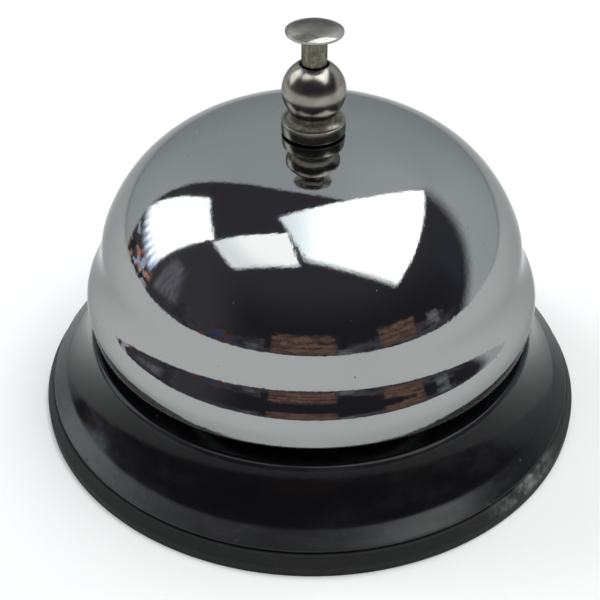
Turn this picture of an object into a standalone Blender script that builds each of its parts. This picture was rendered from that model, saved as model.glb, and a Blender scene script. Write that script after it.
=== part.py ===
"""Service call bell: a chromed steel gong on a painted pressed base with a rubber foot ring.

Pressing the button slides a rod down through the finial. The rod tips a lever inside the
gong, and the hammer on the lever's far end swings up to the gong's wall.

Sizes are in millimetres. turned(), flat_outline() and the other makers turn them into metres.
The origin is on the bell's axis, on the surface that the bell stands on, with +Z up.
"""

import math

import bmesh
import bpy

MM = 0.001
GAP = 0.3  # clearance between pieces that touch on the real bell

# Foot ring
FOOT_RADIUS = 42.5
FOOT_INNER_RADIUS = 37.4
FOOT_STRAIGHT_HEIGHT = 1.6
FOOT_TOP_RADIUS = 41.7
FOOT_HEIGHT = 3.1
FOOT_LIP_RADIUS = 38.6
FOOT_LIP_HEIGHT = 4.4

# Base shell, outer surface
BASE_SHEET = 0.9
BASE_RIM_RADIUS = 41.25
BASE_RIM_BOTTOM = FOOT_HEIGHT + GAP
BASE_RIM_TOP = 3.9
BEVEL_TOP_RADIUS = 39.0
BEVEL_TOP = 5.6
FLARE_START_DEG = 47.0
FLARE_END_DEG = 20.0
DECK_LIP_RADIUS = 1.0
DECK_TOP = 12.9

# The flare is one arc, from the bevel up to where the deck's rounded lip is as steep as it is
FLARE_START = math.radians(FLARE_START_DEG)
FLARE_END = math.radians(FLARE_END_DEG)
LIP_CENTRE_HEIGHT = DECK_TOP - DECK_LIP_RADIUS
FLARE_RISE = LIP_CENTRE_HEIGHT + DECK_LIP_RADIUS * math.sin(FLARE_END) - BEVEL_TOP
FLARE_RADIUS = FLARE_RISE / (math.sin(FLARE_START) - math.sin(FLARE_END))

# Gong, outer surface: a superelliptic crown, a waist, a short cone and a rounded bead
# that tapers in a little to the rim
GONG_SHEET = 0.9
CROWN_RADIUS = 33.68
CROWN_CENTRE = 12.0
CROWN_HEIGHT = 33.85
CROWN_EXPONENT = 2.66
CROWN_END = 30.63
WAIST_OUTER_ARC = 10.0
WAIST_TOP = 27.93
WAIST_INNER_ARC = 10.9
WAIST_DEG = 7.0
CONE_DEG = 32.0
CONE_TOP = 23.1
BEAD_ARC = 5.85
BEAD_CENTRE_RADIUS = 28.7
BEAD_CENTRE_HEIGHT = 19.35
BEAD_END_DEG = -8.0
GONG_RIM = 16.2
GONG_HOLE_RADIUS = 2.8
GONG_TOP = CROWN_CENTRE + CROWN_HEIGHT

# The waist is the slight taper between the crown and the bead. Its foot's level and radius follow
# from the cone, which is tangent to the bead below it and to the waist's hollow above it.
CONE_SLOPE = math.radians(CONE_DEG)
WAIST_SLOPE = math.radians(WAIST_DEG)
CONE_BOTTOM = BEAD_CENTRE_HEIGHT + BEAD_ARC * math.sin(CONE_SLOPE)
CONE_BOTTOM_RADIUS = BEAD_CENTRE_RADIUS + BEAD_ARC * math.cos(CONE_SLOPE)
CONE_TOP_RADIUS = CONE_BOTTOM_RADIUS - (CONE_TOP - CONE_BOTTOM) * math.tan(CONE_SLOPE)
WAIST_LEVEL = CONE_TOP + WAIST_INNER_ARC * (math.sin(CONE_SLOPE) - math.sin(WAIST_SLOPE))
WAIST_RADIUS = CONE_TOP_RADIUS - WAIST_INNER_ARC * (math.cos(WAIST_SLOPE) - math.cos(CONE_SLOPE))
WAIST_TOP_RADIUS = WAIST_RADIUS - (WAIST_TOP - WAIST_LEVEL) * math.tan(WAIST_SLOPE)

# Finial: ball, cove, collar and threaded shank
BALL_RADIUS = 4.55
BALL_CENTRE = 52.4
BALL_BORE_RADIUS = 2.05
BALL_END_DEG = -43.5
COLLAR_RADIUS = 4.6
COLLAR_TOP = 47.9
COLLAR_BOTTOM = GONG_TOP + 0.25
COLLAR_RECESS_RADIUS = 3.9
COLLAR_RECESS_DEPTH = 0.9
SHANK_RADIUS = 2.4
SHANK_BOTTOM = 41.3
ROD_BORE_RADIUS = 1.3
SPRING_SEAT = 47.4

# Button, rod and return spring
BUTTON_RADIUS = 4.05
BUTTON_RIM = 61.35
BUTTON_CROWN = 1.0
BUTTON_EDGE = 0.35
STEM_RADIUS = 1.8
STEM_BOTTOM = 54.5
STEM_SOCKET_TOP = 57.8
ROD_RADIUS = 0.95
ROD_TIP = 28.0
CLIP_GROOVE_RADIUS = 0.7
CLIP_INNER_RADIUS = 1.0
CLIP_THICKNESS = 0.6
ROD_CLIP_BOTTOM = 30.1
ROD_CLIP_RADIUS = 2.0
SPRING_RADIUS = 1.5
SPRING_WIRE_RADIUS = 0.2
SPRING_TURNS = 6

# Sleeve that carries the gong and guides the rod
SLEEVE_BOTTOM = 31.0
SLEEVE_SPIGOT_RADIUS = 2.6
SLEEVE_SHOULDER_RADIUS = 4.6
SLEEVE_SHOULDER_HEIGHT = 1.2
SLEEVE_COLUMN_RADIUS = 3.4
SLEEVE_FLANGE_RADIUS = 6.2
SLEEVE_FLANGE_HEIGHT = 1.05
SEAT_WASHER_HEIGHT = 0.5
SEAT_WASHER_RADIUS = 6.0
SLEEVE_TOP = GONG_TOP - GONG_SHEET - SEAT_WASHER_HEIGHT - 2 * GAP

# Support frame: a bridge of bent strip, open along X
STRIP = 1.2
FRAME_MIN_X = -6.0
FRAME_MAX_X = 8.0
FRAME_FOOT_BOTTOM = DECK_TOP + GAP
FRAME_TOP = 35.8
LEG_OUTER_Y = 6.6
FOOT_END_Y = 14.0
BEND_RADIUS = 1.6
RIVET_X = 1.0
RIVET_Y = 11.0
RIVET_RADIUS = 1.1
RIVET_HEAD_RADIUS = 2.2
RIVET_HEAD_HEIGHT = 1.0
NUT_HEIGHT = 2.0
NUT_RADIUS = 4.6
LOCK_WASHER_HEIGHT = 0.6

# Striker: lever, hammer and pivot
PIVOT_X = 5.0
PIVOT_Z = 26.3
PIN_RADIUS = 1.0
PIN_HOLE_RADIUS = PIN_RADIUS + GAP
PIN_HEAD_RADIUS = 2.0
PIN_HEAD_HEIGHT = 0.8
LEVER_THICKNESS = 1.6
LEVER_HUB_RADIUS = 2.5
LEVER_HALF_WIDTH = 1.4
INNER_ARM_LENGTH = 7.5
HAMMER_ARM_LENGTH = 19.0
HAMMER_ARM_DEG = -20.0
HAMMER_RADIUS = 3.2
HAMMER_LENGTH = 8.0
HAMMER_CROWN = 0.5
HAMMER_SLOT_LENGTH = 6.5
HAMMER_PIN_RADIUS = 0.8
SPACER_RADIUS = 2.0

COARSE_STEPS = 48
FINE_STEPS = 24
SMALL_STEPS = 16


# ---------------------------------------------------------------- scene and materials

def clear_scene():
    for item in list(bpy.data.objects):
        bpy.data.objects.remove(item, do_unlink=True)


def make_collection(name):
    collection = bpy.data.collections.new(name)
    bpy.context.scene.collection.children.link(collection)
    return collection


def make_material(name, colour, metallic, roughness):
    material = bpy.data.materials.new(name)
    material.use_nodes = True
    shader = material.node_tree.nodes["Principled BSDF"]
    shader.inputs["Base Color"].default_value = (*colour, 1.0)
    shader.inputs["Metallic"].default_value = metallic
    shader.inputs["Roughness"].default_value = roughness
    return material


clear_scene()
BELL = make_collection("call_bell")
CUTTERS = make_collection("cutters")

CHROME = make_material("chrome", (0.62, 0.64, 0.65), 1.0, 0.05)
NICKEL = make_material("nickel_plate", (0.56, 0.55, 0.50), 1.0, 0.18)
SATIN_NICKEL = make_material("satin_nickel", (0.50, 0.49, 0.45), 1.0, 0.35)
BLACK_PAINT = make_material("black_paint", (0.012, 0.012, 0.014), 0.0, 0.2)
RUBBER = make_material("rubber", (0.02, 0.021, 0.02), 0.0, 0.8)
ZINC = make_material("zinc_plated_steel", (0.55, 0.56, 0.55), 1.0, 0.35)
BRASS = make_material("brass", (0.72, 0.52, 0.25), 1.0, 0.3)
FIBRE = make_material("fibre", (0.28, 0.09, 0.05), 0.0, 0.7)
NYLON = make_material("nylon", (0.75, 0.74, 0.70), 0.0, 0.45)
SPRING_STEEL = make_material("spring_steel", (0.42, 0.42, 0.43), 1.0, 0.3)


# ---------------------------------------------------------------- makers

def add_object(name, data, material, collection=None):
    """Wrap mesh or curve data in an object in the bell's collection."""
    item = bpy.data.objects.new(name, data)
    (collection or BELL).objects.link(item)
    if material:
        data.materials.append(material)
    return item


def arc(centre, radius, start_deg, end_deg, steps):
    """Points along an arc in the half-plane (radius, height). 0 degrees points outward."""
    points = []
    for index in range(steps + 1):
        angle = math.radians(start_deg + (end_deg - start_deg) * index / steps)
        points.append((centre[0] + radius * math.cos(angle), centre[1] + radius * math.sin(angle)))
    return points


def turned(name, profile, material, steps=FINE_STEPS, closed=True):
    """Turn a profile of (radius, height) points, listed down its outer side, about Z.

    A closed profile is a loop and makes a piece with a hole. An open one that starts and ends
    on the axis makes a solid piece.
    """
    mesh = bpy.data.meshes.new(name)
    vertices = [(radius * MM, 0.0, height * MM) for radius, height in profile]
    edges = [(index, index + 1) for index in range(len(profile) - 1)]
    if closed:
        edges.append((len(profile) - 1, 0))
    mesh.from_pydata(vertices, edges, [])
    item = add_object(name, mesh, material)
    screw = item.modifiers.new("turn", "SCREW")
    screw.axis = "Z"
    screw.angle = math.tau
    screw.steps = steps
    screw.render_steps = steps
    screw.use_merge_vertices = True
    screw.merge_threshold = 0.000001
    screw.use_smooth_shade = True
    return item


def add_sheet(item, thickness):
    """Thicken an open turned surface inward, to its sheet thickness."""
    solidify = item.modifiers.new("sheet", "SOLIDIFY")
    solidify.thickness = thickness * MM
    solidify.offset = -1.0
    solidify.use_even_offset = True


def ring(name, inner, outer, bottom, height, material, steps=SMALL_STEPS, bevel=0.0):
    """A plain ring with its outer edges optionally chamfered."""
    top = bottom + height
    profile = [(inner, top), (outer - bevel, top)]
    if bevel:
        profile.append((outer, top - bevel))
        profile.append((outer, bottom + bevel))
    profile.append((outer - bevel, bottom))
    profile.append((inner, bottom))
    return turned(name, profile, material, steps)


def circle_points(centre, radius, steps, start_deg=0.0, end_deg=360.0):
    """Points around a circle, without repeating the first one for a full turn."""
    points = arc(centre, radius, start_deg, end_deg, steps)
    return points[:-1] if end_deg - start_deg == 360.0 else points


def flat_outline(name, outlines, thickness, material):
    """A flat piece in the local XY plane: the first outline is its edge, the others are holes."""
    curve = bpy.data.curves.new(name, "CURVE")
    curve.dimensions = "2D"
    curve.fill_mode = "BOTH"
    curve.extrude = thickness * MM / 2
    for outline in outlines:
        spline = curve.splines.new("POLY")
        spline.points.add(len(outline) - 1)
        for point, (x, y) in zip(spline.points, outline):
            point.co = (x * MM, y * MM, 0.0, 1.0)
        spline.use_cyclic_u = True
    return add_object(name, curve, material)


def to_mesh(item):
    """Replace a curve object by a mesh object of the same shape, name and place."""
    name = item.name
    material = item.data.materials[0]
    graph = bpy.context.evaluated_depsgraph_get()
    mesh = bpy.data.meshes.new_from_object(item.evaluated_get(graph))
    work = bmesh.new()
    work.from_mesh(mesh)
    bmesh.ops.remove_doubles(work, verts=work.verts, dist=0.000001)
    bmesh.ops.recalc_face_normals(work, faces=work.faces)
    work.to_mesh(mesh)
    work.free()
    matrix = item.matrix_world.copy()
    bpy.data.objects.remove(item, do_unlink=True)
    mesh.materials.clear()
    result = add_object(name, mesh, material)
    result.matrix_world = matrix
    return result


def cutter_cylinder(name, radius, length, location, rotation=(0.0, 0.0, 0.0), steps=SMALL_STEPS):
    """A round cutter with its middle at the given place, along Z unless it is rotated."""
    mesh = bpy.data.meshes.new(name)
    work = bmesh.new()
    bmesh.ops.create_cone(work, cap_ends=True, segments=steps, radius1=radius * MM,
                          radius2=radius * MM, depth=length * MM)
    work.to_mesh(mesh)
    work.free()
    return place_cutter(name, mesh, location, rotation)


def cutter_box(name, size, location, rotation=(0.0, 0.0, 0.0)):
    """A box cutter with its middle at the given place."""
    mesh = bpy.data.meshes.new(name)
    work = bmesh.new()
    bmesh.ops.create_cube(work, size=1.0)
    bmesh.ops.scale(work, vec=[value * MM for value in size], verts=work.verts)
    work.to_mesh(mesh)
    work.free()
    return place_cutter(name, mesh, location, rotation)


def place_cutter(name, mesh, location, rotation):
    item = add_object(name, mesh, None, CUTTERS)
    item.location = [value * MM for value in location]
    item.rotation_euler = rotation
    item.hide_render = True
    item.display_type = "WIRE"
    return item


def cut(item, cutter):
    boolean = item.modifiers.new(cutter.name, "BOOLEAN")
    boolean.operation = "DIFFERENCE"
    boolean.solver = "EXACT"
    boolean.object = cutter


def clip_outline(outer):
    """The outline of an open retaining ring: a C with its mouth along +X."""
    mouth_deg = 35.0
    steps = 14
    outside = arc((0.0, 0.0), outer, mouth_deg, 360.0 - mouth_deg, steps)
    inside = arc((0.0, 0.0), CLIP_INNER_RADIUS, 360.0 - mouth_deg, mouth_deg, steps)
    return outside + inside


# ---------------------------------------------------------------- base

def make_foot_ring():
    """Rubber ring under the base, with a lip that sits inside the base's rim."""
    profile = [
        (FOOT_LIP_RADIUS, FOOT_LIP_HEIGHT),
        (FOOT_LIP_RADIUS, FOOT_HEIGHT),
        (FOOT_TOP_RADIUS - 0.3, FOOT_HEIGHT),
        (FOOT_TOP_RADIUS, FOOT_HEIGHT - 0.2),
        (FOOT_RADIUS, FOOT_STRAIGHT_HEIGHT),
        (FOOT_RADIUS, 0.15),
        (FOOT_RADIUS - 0.15, 0.0),
        (FOOT_INNER_RADIUS, 0.0),
        (FOOT_INNER_RADIUS, FOOT_LIP_HEIGHT),
    ]
    return turned("foot_ring", profile, RUBBER, COARSE_STEPS)


def base_profile():
    """Outer surface of the base: flat deck, rounded lip, hollow flare, bevel and rim."""
    flare_centre = (
        BEVEL_TOP_RADIUS + FLARE_RADIUS * math.cos(FLARE_START),
        BEVEL_TOP + FLARE_RADIUS * math.sin(FLARE_START),
    )
    flare = arc(flare_centre, FLARE_RADIUS, 180.0 + FLARE_END_DEG, 180.0 + FLARE_START_DEG, 5)
    lip_centre = (flare[0][0] - DECK_LIP_RADIUS * math.cos(FLARE_END), LIP_CENTRE_HEIGHT)
    lip = arc(lip_centre, DECK_LIP_RADIUS, 90.0, FLARE_END_DEG, 4)[:-1]
    rim = [(BASE_RIM_RADIUS, BASE_RIM_TOP), (BASE_RIM_RADIUS, BASE_RIM_BOTTOM)]
    return [(0.0, DECK_TOP)] + lip + flare + rim


def make_base_shell():
    shell = turned("base_shell", base_profile(), BLACK_PAINT, COARSE_STEPS, closed=False)
    add_sheet(shell, BASE_SHEET)
    for side, label in ((-1, "left"), (1, "right")):
        place = (RIVET_X, side * RIVET_Y, DECK_TOP)
        cut(shell, cutter_cylinder(f"base_hole_{label}", RIVET_RADIUS + GAP, 4.0, place))
    return shell


# ---------------------------------------------------------------- support frame

def frame_outline():
    """Half-turn of bent strip seen along X: feet, legs and the bridge between them."""
    inner_y = LEG_OUTER_Y - STRIP
    foot_top = FRAME_FOOT_BOTTOM + STRIP
    outer_bend = (LEG_OUTER_Y - BEND_RADIUS, FRAME_TOP - BEND_RADIUS)
    foot_bend = (LEG_OUTER_Y + BEND_RADIUS - STRIP, foot_top + BEND_RADIUS - STRIP)
    right = [(inner_y, FRAME_TOP - STRIP)]
    right += [(inner_y, FRAME_FOOT_BOTTOM + BEND_RADIUS)]
    right += arc((inner_y + BEND_RADIUS, FRAME_FOOT_BOTTOM + BEND_RADIUS), BEND_RADIUS, 180.0, 270.0, 4)[1:]
    right += [(FOOT_END_Y, FRAME_FOOT_BOTTOM), (FOOT_END_Y, foot_top)]
    right += arc(foot_bend, BEND_RADIUS - STRIP, 270.0, 180.0, 2)
    right += arc(outer_bend, BEND_RADIUS, 0.0, 90.0, 4)
    left = [(-y, z) for y, z in reversed(right)]
    return right + left


def make_support_frame():
    strip_width = FRAME_MAX_X - FRAME_MIN_X
    outline = flat_outline("support_frame", [frame_outline()], strip_width, ZINC)
    outline.location = ((FRAME_MIN_X + FRAME_MAX_X) / 2 * MM, 0.0, 0.0)
    outline.rotation_euler = (math.pi / 2, 0.0, math.pi / 2)
    bpy.context.view_layer.update()
    frame = to_mesh(outline)
    sleeve_hole = cutter_cylinder("sleeve_hole", SLEEVE_SPIGOT_RADIUS + GAP, 4.0, (0.0, 0.0, FRAME_TOP))
    pin_hole = cutter_cylinder("pin_hole", PIN_HOLE_RADIUS, 20.0, (PIVOT_X, 0.0, PIVOT_Z),
                               (math.pi / 2, 0.0, 0.0))
    cut(frame, sleeve_hole)
    cut(frame, pin_hole)
    for side, label in ((-1, "left"), (1, "right")):
        place = (RIVET_X, side * RIVET_Y, FRAME_FOOT_BOTTOM)
        cut(frame, cutter_cylinder(f"foot_hole_{label}", RIVET_RADIUS + GAP, 4.0, place))
    return frame


def make_frame_rivets():
    """Two rivets that hold the frame's feet to the deck."""
    under_deck = DECK_TOP - BASE_SHEET - GAP
    over_foot = FRAME_FOOT_BOTTOM + STRIP + GAP
    flat = 0.5
    profile = [(0.0, over_foot + RIVET_HEAD_HEIGHT), (flat * RIVET_HEAD_RADIUS, over_foot + RIVET_HEAD_HEIGHT)]
    profile += [(RIVET_HEAD_RADIUS, over_foot + 0.3), (RIVET_HEAD_RADIUS, over_foot)]
    profile += [(RIVET_RADIUS, over_foot), (RIVET_RADIUS, under_deck)]
    profile += [(RIVET_HEAD_RADIUS, under_deck), (RIVET_HEAD_RADIUS, under_deck - 0.3)]
    profile += [(flat * RIVET_HEAD_RADIUS, under_deck - RIVET_HEAD_HEIGHT), (0.0, under_deck - RIVET_HEAD_HEIGHT)]
    for side, label in ((-1, "left"), (1, "right")):
        rivet = turned(f"frame_rivet_{label}", profile, ZINC, SMALL_STEPS, closed=False)
        rivet.location = (RIVET_X * MM, side * RIVET_Y * MM, 0.0)


def make_sleeve():
    """Hollow column: its spigot goes through the bridge, and its flange carries the gong."""
    shoulder = FRAME_TOP + GAP
    socket_radius = SHANK_RADIUS + GAP
    socket_bottom = SHANK_BOTTOM - GAP
    profile = [
        (socket_radius, SLEEVE_TOP),
        (SLEEVE_FLANGE_RADIUS, SLEEVE_TOP),
        (SLEEVE_FLANGE_RADIUS, SLEEVE_TOP - SLEEVE_FLANGE_HEIGHT),
        (SLEEVE_COLUMN_RADIUS, SLEEVE_TOP - SLEEVE_FLANGE_HEIGHT),
        (SLEEVE_COLUMN_RADIUS, shoulder + SLEEVE_SHOULDER_HEIGHT),
        (SLEEVE_SHOULDER_RADIUS, shoulder + SLEEVE_SHOULDER_HEIGHT),
        (SLEEVE_SHOULDER_RADIUS, shoulder),
        (SLEEVE_SPIGOT_RADIUS, shoulder),
        (SLEEVE_SPIGOT_RADIUS, SLEEVE_BOTTOM),
        (ROD_BORE_RADIUS, SLEEVE_BOTTOM),
        (ROD_BORE_RADIUS, socket_bottom),
        (socket_radius, socket_bottom),
    ]
    return turned("sleeve", profile, ZINC, FINE_STEPS)


def make_sleeve_fasteners():
    """Lock washer and hexagon nut under the bridge."""
    washer_bottom = FRAME_TOP - STRIP - GAP - LOCK_WASHER_HEIGHT
    ring("sleeve_lock_washer", SLEEVE_SPIGOT_RADIUS + GAP, NUT_RADIUS - 0.3, washer_bottom,
         LOCK_WASHER_HEIGHT, SPRING_STEEL)
    hexagon = circle_points((0.0, 0.0), NUT_RADIUS, 6)
    bore = circle_points((0.0, 0.0), SLEEVE_SPIGOT_RADIUS + GAP, SMALL_STEPS)
    nut = flat_outline("sleeve_nut", [hexagon, bore], NUT_HEIGHT, ZINC)
    nut.location = (0.0, 0.0, (washer_bottom - GAP - NUT_HEIGHT / 2) * MM)


# ---------------------------------------------------------------- gong and finial

def crown_height(radius):
    """Height of the crown's outer surface above its centre level, at a radius."""
    return CROWN_HEIGHT * (1.0 - (radius / CROWN_RADIUS) ** CROWN_EXPONENT) ** (1.0 / CROWN_EXPONENT)


def crown_profile(count):
    """Crown from the hole to the waist, closer together where it turns down."""
    end = (CROWN_END - CROWN_CENTRE) / CROWN_HEIGHT
    end_radius = CROWN_RADIUS * (1.0 - end ** CROWN_EXPONENT) ** (1.0 / CROWN_EXPONENT)
    points = []
    for index in range(count + 1):
        share = math.sin(math.pi / 2 * index / count)
        radius = GONG_HOLE_RADIUS + (end_radius - GONG_HOLE_RADIUS) * share
        points.append((radius, CROWN_CENTRE + crown_height(radius)))
    return points


def gong_profile():
    """Outer surface of the gong, from the hole in its top down to its rim."""
    bead_centre = (BEAD_CENTRE_RADIUS, BEAD_CENTRE_HEIGHT)
    bead = arc(bead_centre, BEAD_ARC, CONE_DEG, BEAD_END_DEG, 6)
    taper = (bead[-1][1] - GONG_RIM) * math.tan(math.radians(BEAD_END_DEG))
    rim = (bead[-1][0] + taper, GONG_RIM)
    crown = crown_profile(9)
    rise = (CROWN_END - WAIST_TOP) / WAIST_OUTER_ARC
    start_deg = math.degrees(math.asin(math.sin(WAIST_SLOPE) + rise))
    outer_centre = (
        WAIST_TOP_RADIUS - WAIST_OUTER_ARC * math.cos(WAIST_SLOPE),
        WAIST_TOP - WAIST_OUTER_ARC * math.sin(WAIST_SLOPE),
    )
    inner_centre = (
        WAIST_RADIUS + WAIST_INNER_ARC * math.cos(WAIST_SLOPE),
        WAIST_LEVEL + WAIST_INNER_ARC * math.sin(WAIST_SLOPE),
    )
    upper = arc(outer_centre, WAIST_OUTER_ARC, start_deg, WAIST_DEG, 3)[1:]
    lower = arc(inner_centre, WAIST_INNER_ARC, 180.0 + WAIST_DEG, 180.0 + CONE_DEG, 4)
    return crown + upper + lower + bead + [rim]


def make_gong():
    gong = turned("bell_dome", gong_profile(), CHROME, COARSE_STEPS, closed=False)
    add_sheet(gong, GONG_SHEET)
    return gong


def make_washers():
    """Fibre washers under and over the gong's top."""
    seat_bottom = SLEEVE_TOP + GAP
    ring("dome_seat_washer", GONG_HOLE_RADIUS, SEAT_WASHER_RADIUS, seat_bottom,
         SEAT_WASHER_HEIGHT, FIBRE)
    top_bottom = GONG_TOP + GAP
    top_height = COLLAR_BOTTOM + COLLAR_RECESS_DEPTH - GAP - top_bottom
    ring("finial_washer", SHANK_RADIUS + GAP, COLLAR_RECESS_RADIUS - GAP, top_bottom,
         top_height, FIBRE)


def make_finial():
    """Ball with a spring pocket, over a cove, a collar and a shank that screws into the sleeve."""
    bore_deg = math.degrees(math.acos(BALL_BORE_RADIUS / BALL_RADIUS))
    ball = arc((0.0, BALL_CENTRE), BALL_RADIUS, bore_deg, BALL_END_DEG, 10)
    neck = ball[-1]
    cove_radius = COLLAR_RADIUS - neck[0]
    cove = arc((COLLAR_RADIUS, COLLAR_TOP + cove_radius), cove_radius, 180.0, 270.0, 5)
    recess_top = COLLAR_BOTTOM + COLLAR_RECESS_DEPTH
    edge = 0.12
    profile = ball + cove[:-1]
    profile += [(COLLAR_RADIUS - edge, COLLAR_TOP), (COLLAR_RADIUS, COLLAR_TOP - edge)]
    profile += [(COLLAR_RADIUS, COLLAR_BOTTOM), (COLLAR_RECESS_RADIUS, COLLAR_BOTTOM)]
    profile += [(COLLAR_RECESS_RADIUS, recess_top), (SHANK_RADIUS, recess_top)]
    profile += [(SHANK_RADIUS, SHANK_BOTTOM), (ROD_BORE_RADIUS, SHANK_BOTTOM)]
    profile += [(ROD_BORE_RADIUS, SPRING_SEAT), (BALL_BORE_RADIUS, SPRING_SEAT)]
    return turned("finial", profile, NICKEL, FINE_STEPS)


# ---------------------------------------------------------------- plunger

def make_button():
    """Domed button on a thick stem, with a socket for the rod in the stem's end."""
    cap_radius = (BUTTON_RADIUS ** 2 + BUTTON_CROWN ** 2) / (2 * BUTTON_CROWN)
    cap_centre = (0.0, BUTTON_RIM + BUTTON_CROWN - cap_radius)
    rim_deg = math.degrees(math.acos(BUTTON_RADIUS / cap_radius))
    profile = arc(cap_centre, cap_radius, 90.0, rim_deg, 6)
    profile[0] = (0.0, BUTTON_RIM + BUTTON_CROWN)
    socket_radius = ROD_RADIUS + GAP
    profile += [
        (BUTTON_RADIUS, BUTTON_RIM - BUTTON_EDGE / 2),
        (BUTTON_RADIUS - 0.2, BUTTON_RIM - BUTTON_EDGE),
        (STEM_RADIUS + 0.5, BUTTON_RIM - 2 * BUTTON_EDGE),
        (STEM_RADIUS, BUTTON_RIM - 4 * BUTTON_EDGE),
        (STEM_RADIUS, STEM_BOTTOM),
        (socket_radius, STEM_BOTTOM),
        (socket_radius, STEM_SOCKET_TOP),
        (0.0, STEM_SOCKET_TOP),
    ]
    return turned("button", profile, NICKEL, FINE_STEPS, closed=False)


def make_push_rod():
    """Thin rod from the stem's socket to the lever, with a round tip and a clip groove."""
    tip = arc((0.0, ROD_TIP + ROD_RADIUS), ROD_RADIUS, 0.0, -90.0, 4)
    tip[-1] = (0.0, ROD_TIP)
    top = STEM_SOCKET_TOP - GAP
    groove_bottom = ROD_CLIP_BOTTOM - GAP
    groove_top = ROD_CLIP_BOTTOM + CLIP_THICKNESS + GAP
    profile = [(0.0, top), (ROD_RADIUS, top), (ROD_RADIUS, groove_top)]
    profile += [(CLIP_GROOVE_RADIUS, groove_top), (CLIP_GROOVE_RADIUS, groove_bottom)]
    profile += [(ROD_RADIUS, groove_bottom)] + tip
    return turned("push_rod", profile, ZINC, 16, closed=False)


def make_rod_clip():
    clip = flat_outline("rod_clip", [clip_outline(ROD_CLIP_RADIUS)], CLIP_THICKNESS, SPRING_STEEL)
    clip.location = (0.0, 0.0, (ROD_CLIP_BOTTOM + CLIP_THICKNESS / 2) * MM)
    clip.rotation_euler = (0.0, 0.0, math.pi / 2)


def make_return_spring():
    """Coil in the ball's pocket, between the pocket's floor and the stem's end."""
    points_per_turn = 10
    bottom = SPRING_SEAT + GAP + SPRING_WIRE_RADIUS
    top = STEM_BOTTOM - GAP - SPRING_WIRE_RADIUS
    count = SPRING_TURNS * points_per_turn
    curve = bpy.data.curves.new("return_spring", "CURVE")
    curve.dimensions = "3D"
    curve.bevel_depth = SPRING_WIRE_RADIUS * MM
    curve.bevel_resolution = 1
    curve.use_fill_caps = True
    spline = curve.splines.new("POLY")
    spline.points.add(count)
    for index, point in enumerate(spline.points):
        angle = math.tau * index / points_per_turn
        height = bottom + (top - bottom) * index / count
        x = SPRING_RADIUS * math.cos(angle)
        y = SPRING_RADIUS * math.sin(angle)
        point.co = (x * MM, y * MM, height * MM, 1.0)
    return add_object("return_spring", curve, SPRING_STEEL)


# ---------------------------------------------------------------- striker

def add_pivot(name):
    """Empty on the striker's axis, which carries the pieces that swing."""
    pivot = bpy.data.objects.new(name, None)
    pivot.location = (PIVOT_X * MM, 0.0, PIVOT_Z * MM)
    BELL.objects.link(pivot)
    return pivot


def arm_point(along, across):
    """A point given along and across the hammer arm, in the pivot's XZ plane."""
    angle = math.radians(HAMMER_ARM_DEG)
    x = along * math.cos(angle) - across * math.sin(angle)
    z = along * math.sin(angle) + across * math.cos(angle)
    return (x, z)


def lever_outline():
    """Stamped blade about the pivot: a level inner arm under the rod and the hammer arm."""
    arm_end = HAMMER_ARM_LENGTH + 2.0
    hub_join_deg = math.degrees(math.asin(LEVER_HALF_WIDTH / LEVER_HUB_RADIUS))
    inner_tip = (-INNER_ARM_LENGTH + LEVER_HALF_WIDTH, 0.0)
    outline = arc(inner_tip, LEVER_HALF_WIDTH, 90.0, 270.0, 6)
    outline += arc((0.0, 0.0), LEVER_HUB_RADIUS, 180.0 + hub_join_deg,
                   360.0 + HAMMER_ARM_DEG - hub_join_deg, 6)
    outline += [arm_point(arm_end - 0.5, -LEVER_HALF_WIDTH), arm_point(arm_end, -LEVER_HALF_WIDTH + 0.5)]
    outline += [arm_point(arm_end, LEVER_HALF_WIDTH - 0.5), arm_point(arm_end - 0.5, LEVER_HALF_WIDTH)]
    outline += arc((0.0, 0.0), LEVER_HUB_RADIUS, HAMMER_ARM_DEG + hub_join_deg, 180.0 - hub_join_deg, 6)
    return outline


def make_striker_lever(pivot):
    pin_hole = circle_points((0.0, 0.0), PIN_HOLE_RADIUS, SMALL_STEPS)
    hammer_hole = circle_points(arm_point(HAMMER_ARM_LENGTH, 0.0), HAMMER_PIN_RADIUS + GAP, 12)
    outlines = [lever_outline(), pin_hole, hammer_hole]
    lever = flat_outline("striker_lever", outlines, LEVER_THICKNESS, ZINC)
    lever.parent = pivot
    lever.rotation_euler = (math.pi / 2, 0.0, 0.0)


def make_hammer(pivot):
    """Turned brass weight with a crowned face, slotted for the blade and cross-drilled."""
    half = HAMMER_LENGTH / 2
    edge = 0.6
    profile = [(0.0, half + HAMMER_CROWN), (HAMMER_RADIUS / 2, half + 0.75 * HAMMER_CROWN)]
    profile += [(HAMMER_RADIUS - edge, half), (HAMMER_RADIUS, half - edge)]
    profile += [(HAMMER_RADIUS, edge - half), (HAMMER_RADIUS - edge, -half), (0.0, -half)]
    hammer = turned("hammer", profile, BRASS, 24, closed=False)
    arm_angle = math.radians(HAMMER_ARM_DEG)
    x, z = arm_point(HAMMER_ARM_LENGTH, 0.0)
    hammer.parent = pivot
    hammer.location = (x * MM, 0.0, z * MM)
    hammer.rotation_euler = (0.0, math.pi / 2 - arm_angle, 0.0)
    slot_width = LEVER_THICKNESS + 2 * GAP
    slot_x, slot_z = arm_point(HAMMER_ARM_LENGTH - half + HAMMER_SLOT_LENGTH / 2 - 1.0, 0.0)
    slot = cutter_box("hammer_slot", (HAMMER_SLOT_LENGTH + 2.0, slot_width, 3 * HAMMER_RADIUS),
                      (PIVOT_X + slot_x, 0.0, PIVOT_Z + slot_z), (0.0, -arm_angle, 0.0))
    hole = cutter_cylinder("hammer_hole", HAMMER_PIN_RADIUS + GAP, 20.0,
                           (PIVOT_X + x, 0.0, PIVOT_Z + z), (math.pi / 2, 0.0, 0.0), 12)
    cut(hammer, slot)
    cut(hammer, hole)


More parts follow.
